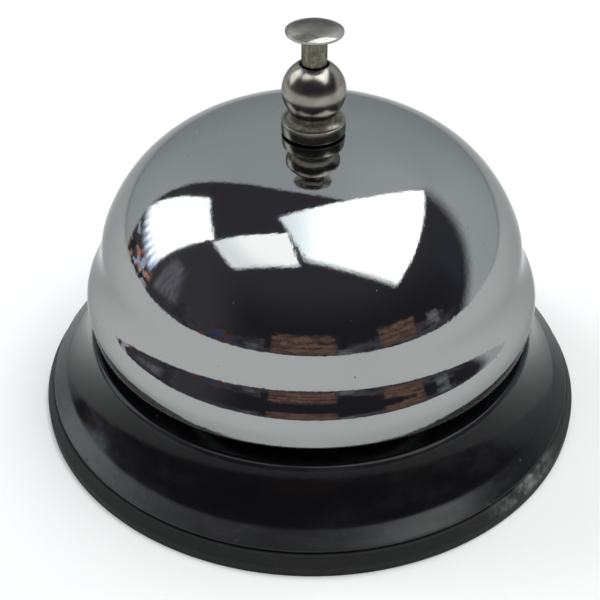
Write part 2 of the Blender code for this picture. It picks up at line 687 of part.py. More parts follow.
def make_hammer_pin(pivot):
    length = 5.6
    profile = [(0.0, length / 2), (HAMMER_PIN_RADIUS, length / 2)]
    profile += [(HAMMER_PIN_RADIUS, -length / 2), (0.0, -length / 2)]
    pin = turned("hammer_pin", profile, ZINC, 12, closed=False)
    x, z = arm_point(HAMMER_ARM_LENGTH, 0.0)
    pin.parent = pivot
    pin.location = (x * MM, 0.0, z * MM)
    pin.rotation_euler = (math.pi / 2, 0.0, 0.0)


def make_pivot_pin():
    """Pin across the frame's legs, with a head on one end and a clip groove on the other."""
    head_start = LEG_OUTER_Y + GAP
    clip_start = LEG_OUTER_Y + GAP
    groove_end = clip_start + CLIP_THICKNESS + GAP
    profile = [(0.0, head_start + PIN_HEAD_HEIGHT), (PIN_HEAD_RADIUS, head_start + PIN_HEAD_HEIGHT)]
    profile += [(PIN_HEAD_RADIUS, head_start), (PIN_RADIUS, head_start)]
    profile += [(PIN_RADIUS, GAP - clip_start), (CLIP_GROOVE_RADIUS, GAP - clip_start)]
    profile += [(CLIP_GROOVE_RADIUS, -groove_end), (PIN_RADIUS, -groove_end)]
    profile += [(PIN_RADIUS, -groove_end - 0.6), (0.0, -groove_end - 0.6)]
    pin = turned("pivot_pin", profile, ZINC, SMALL_STEPS, closed=False)
    pin.location = (PIVOT_X * MM, 0.0, PIVOT_Z * MM)
    pin.rotation_euler = (-math.pi / 2, 0.0, 0.0)
    clip = flat_outline("pivot_clip", [clip_outline(PIN_HEAD_RADIUS)], CLIP_THICKNESS, SPRING_STEEL)
    clip.location = (PIVOT_X * MM, -(clip_start + CLIP_THICKNESS / 2) * MM, PIVOT_Z * MM)
    clip.rotation_euler = (math.pi / 2, 0.0, 0.0)


def make_pivot_spacers():
    """Nylon tubes on the pin that keep the lever midway between the legs."""
    inner_end = LEVER_THICKNESS / 2 + GAP
    length = LEG_OUTER_Y - STRIP - GAP - inner_end
    for side, label in ((-1, "left"), (1, "right")):
        spacer = ring(f"pivot_spacer_{label}", PIN_HOLE_RADIUS, SPACER_RADIUS, inner_end, length, NYLON)
        spacer.location = (PIVOT_X * MM, 0.0, PIVOT_Z * MM)
        spacer.rotation_euler = (-side * math.pi / 2, 0.0, 0.0)


# ---------------------------------------------------------------- assembly

make_foot_ring()
make_base_shell()
make_support_frame()
make_frame_rivets()
make_sleeve()
make_sleeve_fasteners()
make_gong()
make_washers()
make_finial()
make_button()
make_push_rod()
make_rod_clip()
make_return_spring()
striker_pivot = add_pivot("striker_pivot")
make_striker_lever(striker_pivot)
make_hammer(striker_pivot)
make_hammer_pin(striker_pivot)
make_pivot_pin()
make_pivot_spacers()
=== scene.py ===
"""Looks of the service call bell: a chromed gong on a black painted base with a rubber foot.

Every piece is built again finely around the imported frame, in the frame's own place, and rides
on the body of the CAD node that it stands for. Sizes are in millimetres; the makers turn them
into metres. The bell's axis is Z, and it stands on z = 0.
"""

from math import acos, asin, cos, degrees, pi, radians, sin, tan, tau

import bmesh
import bpy
from mathutils import Matrix, Vector


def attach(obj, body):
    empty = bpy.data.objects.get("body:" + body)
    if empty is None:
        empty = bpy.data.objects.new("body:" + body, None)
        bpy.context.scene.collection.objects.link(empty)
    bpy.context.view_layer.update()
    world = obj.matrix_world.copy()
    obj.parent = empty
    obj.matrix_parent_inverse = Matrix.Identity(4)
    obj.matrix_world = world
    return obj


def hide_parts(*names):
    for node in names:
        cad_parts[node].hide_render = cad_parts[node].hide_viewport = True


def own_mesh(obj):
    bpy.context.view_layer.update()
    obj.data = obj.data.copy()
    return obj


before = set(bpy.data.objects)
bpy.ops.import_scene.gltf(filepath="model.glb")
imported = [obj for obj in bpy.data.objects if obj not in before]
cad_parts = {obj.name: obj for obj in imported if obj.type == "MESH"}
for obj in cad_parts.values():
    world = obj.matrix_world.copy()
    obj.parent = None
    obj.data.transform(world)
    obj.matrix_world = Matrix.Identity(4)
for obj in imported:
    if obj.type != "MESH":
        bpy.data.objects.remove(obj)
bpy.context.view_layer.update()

MM = 0.001
GAP = 0.3  # clearance between pieces
QUARTER = pi / 2

# Foot ring
FOOT_RADIUS = 42.5
FOOT_INNER_RADIUS = 37.4
FOOT_STRAIGHT_HEIGHT = 1.6
FOOT_TOP_RADIUS = 41.55
FOOT_HEIGHT = 3.1
FOOT_LIP_RADIUS = 38.6
FOOT_LIP_HEIGHT = 4.4

# Base shell, outer surface
BASE_SHEET = 0.9
BASE_RIM_RADIUS = 41.25
BASE_RIM_BOTTOM = FOOT_HEIGHT + GAP
BASE_RIM_TOP = 3.9
BEVEL_TOP_RADIUS = 39.0
BEVEL_TOP = 5.6
FLARE_START_DEG = 47.0
FLARE_END_DEG = 20.0
DECK_LIP_RADIUS = 1.0
DECK_TOP = 12.9
DECK_RINGS = (0.0, 4.0, 8.0, 14.0, 20.0, 26.0, 31.0)
FLARE_START = radians(FLARE_START_DEG)
FLARE_END = radians(FLARE_END_DEG)
LIP_CENTRE_HEIGHT = DECK_TOP - DECK_LIP_RADIUS
FLARE_RISE = LIP_CENTRE_HEIGHT + DECK_LIP_RADIUS * sin(FLARE_END) - BEVEL_TOP
FLARE_RADIUS = FLARE_RISE / (sin(FLARE_START) - sin(FLARE_END))

# Gong, outer surface
GONG_SHEET = 0.9
CROWN_RADIUS = 33.68
CROWN_CENTRE = 12.0
CROWN_HEIGHT = 33.85
CROWN_EXPONENT = 2.66
CROWN_END = 30.63
WAIST_OUTER_ARC = 10.0
WAIST_TOP = 27.93
WAIST_INNER_ARC = 10.9
WAIST_DEG = 7.0
CONE_DEG = 32.0
CONE_TOP = 23.1
BEAD_ARC = 5.85
BEAD_CENTRE_RADIUS = 28.7
BEAD_CENTRE_HEIGHT = 19.35
BEAD_END_DEG = -8.0
GONG_RIM = 16.2
GONG_HOLE_RADIUS = 2.8
GONG_TOP = CROWN_CENTRE + CROWN_HEIGHT
CONE_SLOPE = radians(CONE_DEG)
WAIST_SLOPE = radians(WAIST_DEG)
CONE_BOTTOM = BEAD_CENTRE_HEIGHT + BEAD_ARC * sin(CONE_SLOPE)
CONE_BOTTOM_RADIUS = BEAD_CENTRE_RADIUS + BEAD_ARC * cos(CONE_SLOPE)
CONE_TOP_RADIUS = CONE_BOTTOM_RADIUS - (CONE_TOP - CONE_BOTTOM) * tan(CONE_SLOPE)
WAIST_LEVEL = CONE_TOP + WAIST_INNER_ARC * (sin(CONE_SLOPE) - sin(WAIST_SLOPE))
WAIST_RADIUS = CONE_TOP_RADIUS - WAIST_INNER_ARC * (cos(WAIST_SLOPE) - cos(CONE_SLOPE))
WAIST_TOP_RADIUS = WAIST_RADIUS - (WAIST_TOP - WAIST_LEVEL) * tan(WAIST_SLOPE)

# Finial
BALL_RADIUS = 4.55
BALL_CENTRE = 52.4
BALL_BORE_RADIUS = 2.05
BALL_END_DEG = -43.5
COLLAR_RADIUS = 4.6
COLLAR_TOP = 47.9
COLLAR_BOTTOM = GONG_TOP + 0.25
COLLAR_RECESS_RADIUS = 3.9
COLLAR_RECESS_DEPTH = 0.9
SHANK_RADIUS = 2.4
SHANK_BOTTOM = 41.3
ROD_BORE_RADIUS = 1.3
SPRING_SEAT = 47.4

# Button, rod and return spring
BUTTON_RADIUS = 4.05
BUTTON_RIM = 61.35
BUTTON_CROWN = 1.0
BUTTON_EDGE = 0.35
BUTTON_FOOT = 0.6
STEM_RADIUS = 1.8
STEM_BOTTOM = 54.5
STEM_SOCKET_TOP = 57.8
ROD_RADIUS = 0.95
ROD_TIP = 28.0
CLIP_GROOVE_RADIUS = 0.7
CLIP_INNER_RADIUS = 1.0
CLIP_THICKNESS = 0.6
CLIP_MOUTH_DEG = 35.0
ROD_CLIP_BOTTOM = 30.1
ROD_CLIP_RADIUS = 2.0
SPRING_RADIUS = 1.5
SPRING_WIRE_RADIUS = 0.2
SPRING_TURNS = 6
SPRING_CLOSED_PITCH = 2.2 * SPRING_WIRE_RADIUS
SPRING_BOTTOM = SPRING_SEAT + GAP
SPRING_TOP = STEM_BOTTOM - GAP

# Sleeve, washers and nut
SLEEVE_BOTTOM = 31.0
SLEEVE_SPIGOT_RADIUS = 2.6
SPIGOT_HOLE_RADIUS = SLEEVE_SPIGOT_RADIUS + GAP
SLEEVE_SHOULDER_RADIUS = 4.6
SLEEVE_SHOULDER_HEIGHT = 1.2
SLEEVE_COLUMN_RADIUS = 3.4
SLEEVE_FLANGE_RADIUS = 6.2
SLEEVE_FLANGE_HEIGHT = 1.05
SEAT_WASHER_HEIGHT = 0.5
SEAT_WASHER_RADIUS = 6.0
SLEEVE_TOP = GONG_TOP - GONG_SHEET - SEAT_WASHER_HEIGHT - 2 * GAP
NUT_HEIGHT = 2.0
NUT_RADIUS = 4.6
LOCK_WASHER_HEIGHT = 0.6
LOCK_WASHER_RADIUS = 4.3

# Support frame
STRIP = 1.2
FRAME_MIN_X = -6.0
FRAME_MAX_X = 8.0
FRAME_FOOT_BOTTOM = DECK_TOP + GAP
FRAME_TOP = 35.8
LEG_OUTER_Y = 6.6
FOOT_END_Y = 14.0
BEND_RADIUS = 1.6
RIVET_X = 1.0
RIVET_Y = 11.0
RIVET_RADIUS = 1.1
RIVET_HOLE_RADIUS = RIVET_RADIUS + GAP
RIVET_HEAD_RADIUS = 2.2
RIVET_HEAD_HEIGHT = 1.0

# Striker
PIVOT_X = 5.0
PIVOT_Z = 26.3
PIVOT = (PIVOT_X, 0.0, PIVOT_Z)
PIN_RADIUS = 1.0
PIN_HOLE_RADIUS = PIN_RADIUS + GAP
PIN_HEAD_RADIUS = 2.0
PIN_HEAD_HEIGHT = 0.8
PIN_TAIL = 0.6
LEVER_THICKNESS = 1.6
LEVER_HUB_RADIUS = 2.5
LEVER_HALF_WIDTH = 1.4
LEVER_OVERHANG = 2.0
LEVER_CORNER = 0.5
INNER_ARM_LENGTH = 7.5
HAMMER_ARM_LENGTH = 19.0
HAMMER_ARM_DEG = -20.0
HAMMER_ARM = radians(HAMMER_ARM_DEG)
HAMMER_RADIUS = 3.2
HAMMER_LENGTH = 8.0
HAMMER_CROWN = 0.5
FACE_INSET = 0.6
HAMMER_SLOT_LENGTH = 6.5
SLOT_OVERRUN = 2.0
HAMMER_PIN_RADIUS = 0.8
HAMMER_PIN_LENGTH = 5.6
SPACER_RADIUS = 2.0

# Segments of a turned mesh, lengths of a drill, and limits of a fillet
LARGE_TURN = 288
MEDIUM_TURN = 128
SMALL_TURN = 72
PIN_TURN = 48
SHEET_DRILL = 4.0
CROSS_DRILL = 20.0
FILLET_SHARE = 0.45
STRAIGHT_HALF_DEG = 89.0

# Colours
CHROME_CLEAN = (0.338, 0.350, 0.346)
CHROME_HAZED = (0.318, 0.329, 0.325)
CHROME_PIT = (0.10, 0.09, 0.08)
CHROME_DUST = (0.42, 0.41, 0.40)
CHROME_EDGE_TINT = (0.55, 0.56, 0.56)
FINIAL_BRIGHT = (0.295, 0.286, 0.255)
FINIAL_DULL = (0.215, 0.206, 0.172)
# Painted shade, patchy like grime, for the finial's cove, bore mouth and collar foot
FINIAL_SHADE_AND_GRIME = (0.060, 0.054, 0.037)
FINIAL_EDGE_TINT = (0.5, 0.5, 0.5)
NICKEL_PIT = (0.09, 0.08, 0.06)
BUTTON_BRIGHT = (0.250, 0.245, 0.222)
BUTTON_DULL = (0.185, 0.180, 0.160)
# Painted highlight on the button cap's edge
BUTTON_EDGE_HIGHLIGHT = (0.37, 0.365, 0.338)
BUTTON_EDGE_TINT = (0.35, 0.35, 0.35)
STEM_DULL = (0.095, 0.092, 0.066)
STEM_WORN = (0.235, 0.23, 0.19)
PAINT_BLACK = (0.0055, 0.0055, 0.0065)
PAINT_RUBBED = (0.012, 0.012, 0.013)
PAINT_DUST = (0.20, 0.20, 0.19)
PAINT_WORN = (0.055, 0.048, 0.036)
# Painted highlight on the deck lip
PAINT_LIP_HIGHLIGHT = (0.022, 0.023, 0.026)
# Painted reflection on the front of the bevel
PAINT_BEVEL_REFLECTION = (0.052, 0.053, 0.055)
RUBBER_BLACK = (0.0105, 0.0110, 0.0108)
RUBBER_DUST = (0.026, 0.027, 0.026)
# Painted highlight on the rubber wall's front right
RUBBER_SIDE_HIGHLIGHT = (0.21, 0.215, 0.21)
FIBRE_DARK = (0.13, 0.040, 0.022)
FIBRE_PALE = (0.34, 0.12, 0.065)
FIBRE_TONE = (0.20, 0.08, 0.05)
NYLON_DARK = (0.66, 0.64, 0.57)
NYLON_PALE = (0.80, 0.79, 0.74)
ZINC_BRIGHT = (0.58, 0.59, 0.57)
ZINC_DULL = (0.44, 0.45, 0.43)
BRASS_BRIGHT = (0.74, 0.55, 0.27)
BRASS_DULL = (0.50, 0.34, 0.15)
STEEL_BRIGHT = (0.40, 0.40, 0.41)
STEEL_DULL = (0.24, 0.235, 0.23)

# Camera
CAMERA_PLACE = (0.0, -0.15269, 0.13259)
CAMERA_PITCH_DEG = 52.51
CAMERA_ROLL_DEG = 0.73
CAMERA_LENS = 73.17
CAMERA_SHIFT_X = -0.0187


# ---- profiles

def arc(centre, radius, start_deg, end_deg, steps):
    """Points along an arc in the half-plane (radius, height). 0 degrees points outward."""
    points = []
    for index in range(steps + 1):
        angle = radians(start_deg + (end_deg - start_deg) * index / steps)
        points.append((centre[0] + radius * cos(angle), centre[1] + radius * sin(angle)))
    return points


def circle(centre, radius, steps):
    return arc(centre, radius, 0.0, 360.0, steps)[:-1]


def dome(radius, height, base, steps, inset=0.0):
    """A shallow spherical cap from the axis down to its edge, or to an inset from its edge."""
    sphere = (radius ** 2 + height ** 2) / (2 * height)
    edge_deg = degrees(acos((radius - inset) / sphere))
    points = arc((0.0, base + height - sphere), sphere, 90.0, edge_deg, steps)
    return [(0.0, base + height)] + points[1:]


def fillet(before, corner, after, radius, steps=4):
    """The arc that rounds one corner of a profile."""
    corner = Vector(corner)
    before = Vector(before) - corner
    after = Vector(after) - corner
    towards = before.normalized()
    onwards = after.normalized()
    half_angle = towards.angle(onwards) / 2
    if half_angle > radians(STRAIGHT_HALF_DEG):
        return [tuple(corner)]
    longest = FILLET_SHARE * min(before.length, after.length)
    reach = min(radius / tan(half_angle), longest)
    radius = reach * tan(half_angle)
    centre = corner + (towards + onwards).normalized() * radius / sin(half_angle)
    start = corner + towards * reach - centre
    turn = start.angle_signed(corner + onwards * reach - centre)
    points = []
    for index in range(steps + 1):
        point = start.copy()
        point.rotate(Matrix.Rotation(-turn * index / steps, 2))
        points.append(tuple(centre + point))
    return points


def rounded(corners, steps=4):
    """A profile through (radius, height, fillet) corners. A corner with no fillet stays sharp."""
    points = []
    for index, corner in enumerate(corners):
        if len(corner) < 3:
            points.append(corner)
            continue
        before = corners[index - 1][:2]
        after = corners[(index + 1) % len(corners)][:2]
        points += fillet(before, corner[:2], after, corner[2], steps)
    return points


def eased(profile, passes):
    """Relax a dense profile a little, so that its curvature has no sudden steps."""
    points = [Vector(point) for point in profile]
    for _ in range(passes):
        inner = [(points[index - 1] + 2 * points[index] + points[index + 1]) / 4
                 for index in range(1, len(points) - 1)]
        points = [points[0]] + inner + [points[-1]]
    return [tuple(point) for point in points]


def inner_side(profile, thickness):
    """The other side of a sheet whose outer side is listed from top to bottom."""
    points = []
    for index, point in enumerate(profile):
        before = Vector(profile[max(index - 1, 0)])
        after = Vector(profile[min(index + 1, len(profile) - 1)])
        along = (after - before).normalized()
        outward = Vector((-along[1], along[0]))
        points.append(tuple(Vector(point) - outward * thickness))
    return points


# ---- mesh makers

def link(name, data):
    """A new object in the scene."""
    item = bpy.data.objects.new(name, data)
    bpy.context.scene.collection.objects.link(item)
    return item


def add_piece(name, mesh, body, node_name, finish, place=None):
    """Put a finished mesh on its body, in the place of the CAD node that it stands for."""
    slot_name, material = finish
    item = link(name, mesh)
    if place is not None:
        item.matrix_world = place
    mesh.materials.append(material)
    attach(item, body)
    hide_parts(node_name)
    return item


def shade_smooth(mesh):
    mesh.polygons.foreach_set("use_smooth", [True] * len(mesh.polygons))
    mesh.update()


def with_bmesh(mesh, edit):
    """Change a mesh through a bmesh."""
    work = bmesh.new()
    work.from_mesh(mesh)
    edit(work)
    work.to_mesh(mesh)
    work.free()


def turned_mesh(name, profile, segments):
    """Turn a profile, listed down its outer side, about Z.

    Points on the axis become poles. A profile that doesn't start on the axis is a closed loop.
    """
    rings = []
    vertices = []
    for radius, height in profile:
        if radius == 0.0:
            rings.append([len(vertices)] * segments)
            vertices.append((0.0, 0.0, height * MM))
            continue
        rings.append(range(len(vertices), len(vertices) + segments))
        for index in range(segments):
            angle = tau * index / segments
            vertices.append((radius * MM * cos(angle), radius * MM * sin(angle), height * MM))
    pairs = list(zip(rings, rings[1:]))
    if profile[0][0] > 0.0:
        pairs.append((rings[-1], rings[0]))
    faces = []
    for upper, lower in pairs:
        for index in range(segments):
            after = (index + 1) % segments
            face = tuple(dict.fromkeys((upper[index], lower[index], lower[after], upper[after])))
            if len(face) > 2:
                faces.append(face)
    mesh = bpy.data.meshes.new(name)
    mesh.from_pydata(vertices, [], faces)
    shade_smooth(mesh)
    return mesh


def turned_piece(name, profile, segments, body, node_name, finish, place=None, sharp_deg=None):
    """A turned mesh as a piece. Its edges of more than sharp_deg stay sharp."""
    mesh = turned_mesh(name, profile, segments)
    if sharp_deg is not None:
        mesh.set_sharp_from_angle(angle=radians(sharp_deg))
    return add_piece(name, mesh, body, node_name, finish, place)


def ring_piece(name, node_name, inner, outer, bottom, height, finish, edge=0.1, place=None):
    """A washer or tube with softened edges, between two radii."""
    top = bottom + height
    corners = [(inner, top, edge), (outer, top, edge), (outer, bottom, edge), (inner, bottom, edge)]
    keep_flats(turned_piece(name, rounded(corners), SMALL_TURN, "root", node_name, finish, place))


def keep_flats(item):
    """Let the large faces set the shading, so that flats stay flat beside rounded edges."""
    weighted = item.modifiers.new("flats", "WEIGHTED_NORMAL")
    weighted.mode = "FACE_AREA"
    weighted.weight = 50
    weighted.keep_sharp = True


def soften_edges(item, width):
    """Round the sharp edges of a cut or stamped piece."""
    bevel = item.modifiers.new("edges", "BEVEL")
    bevel.width = width * MM
    bevel.segments = 3
    bevel.limit_method = "ANGLE"
    bevel.angle_limit = radians(35.0)
    bevel.use_clamp_overlap = True
    keep_flats(item)


def clean_plate(work):
    """Weld the two faces of a filled curve to its walls, and join what is flat."""
    bmesh.ops.remove_doubles(work, verts=work.verts, dist=0.000001)
    bmesh.ops.dissolve_limit(work, angle_limit=radians(1.0), verts=work.verts, edges=work.edges)
    bmesh.ops.recalc_face_normals(work, faces=work.faces)


def plate_piece(name, outlines, thickness, body, node_name, finish, place):
    """A flat piece in the local XY plane: the first outline is its edge, the others are holes."""
    curve = bpy.data.curves.new(name, "CURVE")
    curve.dimensions = "2D"
    curve.fill_mode = "BOTH"
    curve.extrude = thickness * MM / 2
    for outline in outlines:
        spline = curve.splines.new("POLY")
        spline.points.add(len(outline) - 1)
        for point, (x, y) in zip(spline.points, outline):
            point.co = (x * MM, y * MM, 0.0, 1.0)
        spline.use_cyclic_u = True
    filled = link("filled_curve", curve)
    graph = bpy.context.evaluated_depsgraph_get()
    mesh = bpy.data.meshes.new_from_object(filled.evaluated_get(graph))
    bpy.data.objects.remove(filled, do_unlink=True)
    bpy.data.curves.remove(curve)
    with_bmesh(mesh, clean_plate)
    mesh.materials.clear()
    shade_smooth(mesh)
    return add_piece(name, mesh, body, node_name, finish, place)


def turned_to(location, x_turn=0.0, y_turn=0.0, z_turn=0.0):
    """Place a piece at a location in millimetres, turned about X, Y and then Z."""
    turn = Matrix.Rotation(z_turn, 4, "Z") @ Matrix.Rotation(y_turn, 4, "Y")
    turn = turn @ Matrix.Rotation(x_turn, 4, "X")
    return Matrix.Translation(Vector(location) * MM) @ turn


def cut_with(item, tool_mesh, place):
    """Subtract a closed mesh from a piece, for good."""
    tool = link("tool", tool_mesh)
    tool.matrix_world = place
    bpy.context.view_layer.update()
    boolean = item.modifiers.new("cut", "BOOLEAN")
    boolean.operation = "DIFFERENCE"
    boolean.solver = "EXACT"
    boolean.object = tool
    graph = bpy.context.evaluated_depsgraph_get()
    result = bpy.data.meshes.new_from_object(item.evaluated_get(graph))
    item.modifiers.clear()
    item.data = result
    bpy.data.objects.remove(tool, do_unlink=True)
    bpy.data.meshes.remove(tool_mesh)
    shade_smooth(result)


def drill(item, radius, length, location, x_turn=0.0):
    """Drill a round hole through a piece, about a place in the bell's frame."""
    end = length / 2
    profile = [(0.0, end), (radius, end), (radius, -end), (0.0, -end)]
    cut_with(item, turned_mesh("drill", profile, 48), turned_to(location, x_turn))


# ---- node helpers

class Value:
    """One output of a node. Arithmetic on it adds math nodes to the same tree."""

    def __init__(self, made, output=0):
        self.node = made
        self.socket = made.outputs[output]

    def output(self, name):
        """Another output of the same node."""
        return Value(self.node, name)

    def calc(self, operation, *others):
        return node("ShaderNodeMath", dict(enumerate((self, *others))), operation=operation)

    def __add__(self, other):
        return self.calc("ADD", other)

    def __sub__(self, other):
        return self.calc("SUBTRACT", other)

    def __mul__(self, other):
        return self.calc("MULTIPLY", other)

    def __truediv__(self, other):
        return self.calc("DIVIDE", other)


def node(kind, inputs, output=0, **settings):
    """Add a node to the tree of its linked inputs. Inputs are Values, numbers or tuples."""
    tree = next(value.node.id_data for value in inputs.values() if isinstance(value, Value))
    made = tree.nodes.new(kind)
    for key, value in settings.items():
        setattr(made, key, value)
    for key, value in inputs.items():
        put(tree, made.inputs[key], value)
    return Value(made, output)


def put(tree, socket, value):
    """Link a Value to an input, or set it to a number, a vector or an opaque colour."""
    if isinstance(value, Value):
        tree.links.new(value.socket, socket)
    elif socket.type == "RGBA":
        socket.default_value = (*value, 1.0)
    else:
        socket.default_value = value


def coordinates(tree, output):
    return Value(tree.nodes.new("ShaderNodeTexCoord"), output)


def higher(first, second):
    return first.calc("MAXIMUM", second)


def opposite(value):
    """1 where a mask is 0, and 0 where it is 1."""
    return node("ShaderNodeMath", {0: 1.0, 1: value}, operation="SUBTRACT")


def rise(value, low, high, start=0.0, end=1.0):
    """start below low, end above high, and a smooth change between them."""
    inputs = {"Value": value, "From Min": low, "From Max": high, "To Min": start, "To Max": end}
    return node("ShaderNodeMapRange", inputs, interpolation_type="SMOOTHSTEP")


def fall(value, low, high):
    """1 below low, 0 above high, and a smooth change between them."""
    return rise(value, low, high, 1.0, 0.0)


def blend(factor, first, second):
    """A colour between two others, each a Value or (red, green, blue)."""
    return node("ShaderNodeMix", {0: factor, 6: first, 7: second}, 2, data_type="RGBA")


def blend_value(factor, first, second):
    return node("ShaderNodeMix", {0: factor, 2: first, 3: second}, data_type="FLOAT")


def noise(vector, scale, detail=2.0, roughness=0.5):
    inputs = {"Vector": vector, "Scale": scale, "Detail": detail, "Roughness": roughness}
    return node("ShaderNodeTexNoise", inputs, "Fac")


def split(vector):
    parts = node("ShaderNodeSeparateXYZ", {0: vector})
    return parts, parts.output(1), parts.output(2)


def join(x, y, z=0.0):
    return node("ShaderNodeCombineXYZ", {0: x, 1: y, 2: z})


def round_vector(place, around, outward, along):
    """Coordinates for patterns that follow a turned piece, with no seam.

    A pattern changes `around` times a radian, `outward` and `along` times a millimetre.
    """
    x, y, z = split(place)
    radius = (x * x + y * y).calc("SQRT")
    safe = higher(radius, 0.00001)
    reach = radius * (outward / MM) + around
    return join(x / safe * reach, y / safe * reach, z * (along / MM))


def specks(place, spacing, share, size):
    """Scattered small spots: 1 inside a spot. Sizes are in millimetres.

    There is one cell for each spacing, and `share` of the cells have a spot of up to that radius.
    """
    inputs = {"Vector": place, "Scale": 1 / (spacing * MM), "Randomness": 1.0}
    distance = node("ShaderNodeTexVoronoi", inputs, "Distance")
    chance, size_pick, _ = split(distance.output("Color"))
    full = size / spacing
    wobble = noise(place, 2.0 / (size * MM), 1.0) + 0.5
    reach = size_pick.calc("MULTIPLY_ADD", 0.7 * full, 0.3 * full) * wobble
    soft = 0.25 * full
    return fall(distance - reach, -soft, soft) * chance.calc("LESS_THAN", share)


def hairlines(vector, width):
    """Fine broken lines where a stretched pattern crosses its middle value: 1 on a line."""
    line = (noise(vector, 1.0, 1.0) - 0.5).calc("ABSOLUTE")
    return fall(line, 0.0, width)


def bump(height, depth, normal=None):
    """Relief of a depth in millimetres, over another relief if there is one."""
    inputs = {"Height": height, "Distance": depth * MM, "Strength": 1.0}
    if normal is not None:
        inputs["Normal"] = normal
    return node("ShaderNodeBump", inputs)


def new_material(name):
    """An empty node material, and the coordinates of a place on the piece."""
    material = bpy.data.materials.new(name)
    material.use_nodes = True
    return material, coordinates(material.node_tree, "Object")


def surface(material, **inputs):
    """Set or link the shader's inputs. Underscores in a name stand for spaces."""
    tree = material.node_tree
    shader = tree.nodes["Principled BSDF"]
    for key, value in inputs.items():
        put(tree, shader.inputs[key.replace("_", " ")], value)
    return material


# ---- materials

def chrome_material():
    """Bright plating: faint smears, pits, dust and hairline scratches on a slightly uneven skin."""
    material, place = new_material("chrome")
    smear = noise(round_vector(place, 3.0, 0.0, 0.035), 1.0, 4.0, 0.6)
    cloud = noise(place, 90.0, 5.0, 0.65)
    grain = noise(place, 1500.0, 2.0, 0.6)
    haze = rise(smear, 0.40, 0.75) * rise(cloud, 0.35, 0.70)
    pits = specks(place, 2.6, 0.30, 0.12)
    dust = specks(place, 1.7, 0.16, 0.085)
    hairs = hairlines(round_vector(place, 1.2, 5.0, 5.0), 0.02) * rise(cloud, 0.50, 0.70)
    colour = blend(haze, CHROME_CLEAN, CHROME_HAZED)
    colour = blend(pits, colour, CHROME_PIT)
    colour = blend(dust, colour, CHROME_DUST)
    roughness = haze.calc("MULTIPLY_ADD", 0.05, 0.030) + hairs * 0.05 + grain * 0.02
    roughness = blend_value(higher(pits, dust), roughness, 0.6)
    wave = bump(noise(place, 110.0, 1.0), 0.03)
    skin = bump(grain, 0.006, wave)
    pitted = bump(opposite(pits), 0.006, skin)
    return surface(material, Base_Color=colour, Metallic=opposite(dust * 0.9), Roughness=roughness,
                   Normal=pitted, Specular_Tint=CHROME_EDGE_TINT)


def pitted_metal(material, pits, colour, pit_colour, roughness, skin, **others):
    """Metal of a colour and roughness over a relief, with pits."""
    return surface(material, Base_Color=blend(pits, colour, pit_colour), Metallic=1.0,
                   Roughness=roughness, Normal=bump(opposite(pits), 0.01, skin), **others)


def plated_material(name, bright, dull, low_rough, high_rough, rings):
    """Turned and plated metal: fine rings from the tool, tarnish in patches, small pits."""
    material, place = new_material(name)
    ring_marks = noise(round_vector(place, 0.6, rings, rings), 1.0, 3.0, 0.7)
    pits = specks(place, 1.1, 0.20, 0.09)
    patch = rise(noise(place, 420.0, 4.0, 0.6), 0.38, 0.66)
    pit_colour = tuple(value * 0.25 for value in dull)
    roughness = rise(ring_marks, 0.2, 0.8, low_rough, high_rough) + patch * 0.06
    skin = bump(ring_marks, 0.004)
    return pitted_metal(material, pits, blend(patch, bright, dull), pit_colour, roughness, skin)


def finial_material():
    """Nickel that is bright on the ball, dull in the cove, and turned on the collar, with painted shade,
    patchy like grime, in the cove, round the bore's mouth and at the collar's foot.
    """
    material, place = new_material("finial_nickel")
    _, _, height = split(place)
    # Painted shade, patchy like grime: the cove, the top of the ball round the bore's mouth and the
    # collar's foot on the gong
    cove = rise(height, 47.85 * MM, 48.1 * MM) * fall(height, 49.0 * MM, 49.8 * MM)
    mouth = rise(height, 56.1 * MM, 56.6 * MM)
    foot = rise(height, 46.1 * MM, 46.5 * MM, 0.4, 0.0)
    tarnish = noise(place, 520.0, 4.0, 0.62)
    ring_marks = noise(round_vector(place, 0.8, 9.0, 14.0), 1.0, 3.0, 0.7)
    pits = specks(place, 1.1, 0.25, 0.09)
    shade_and_grime = higher(higher(cove, mouth), foot) * rise(tarnish, 0.25, 0.60)
    colour = blend(rise(tarnish, 0.35, 0.70), FINIAL_BRIGHT, FINIAL_DULL)
    # The colour is darkened there as painted shade
    colour = blend(shade_and_grime * 0.85, colour, FINIAL_SHADE_AND_GRIME)
    roughness = blend_value(cove, 0.17, 0.34) + ring_marks * 0.08 + shade_and_grime * 0.18
    skin = bump(noise(place, 380.0), 0.02, bump(ring_marks, 0.005))
    return pitted_metal(material, pits, colour, NICKEL_PIT, roughness, skin,
                        Specular_Tint=FINIAL_EDGE_TINT)


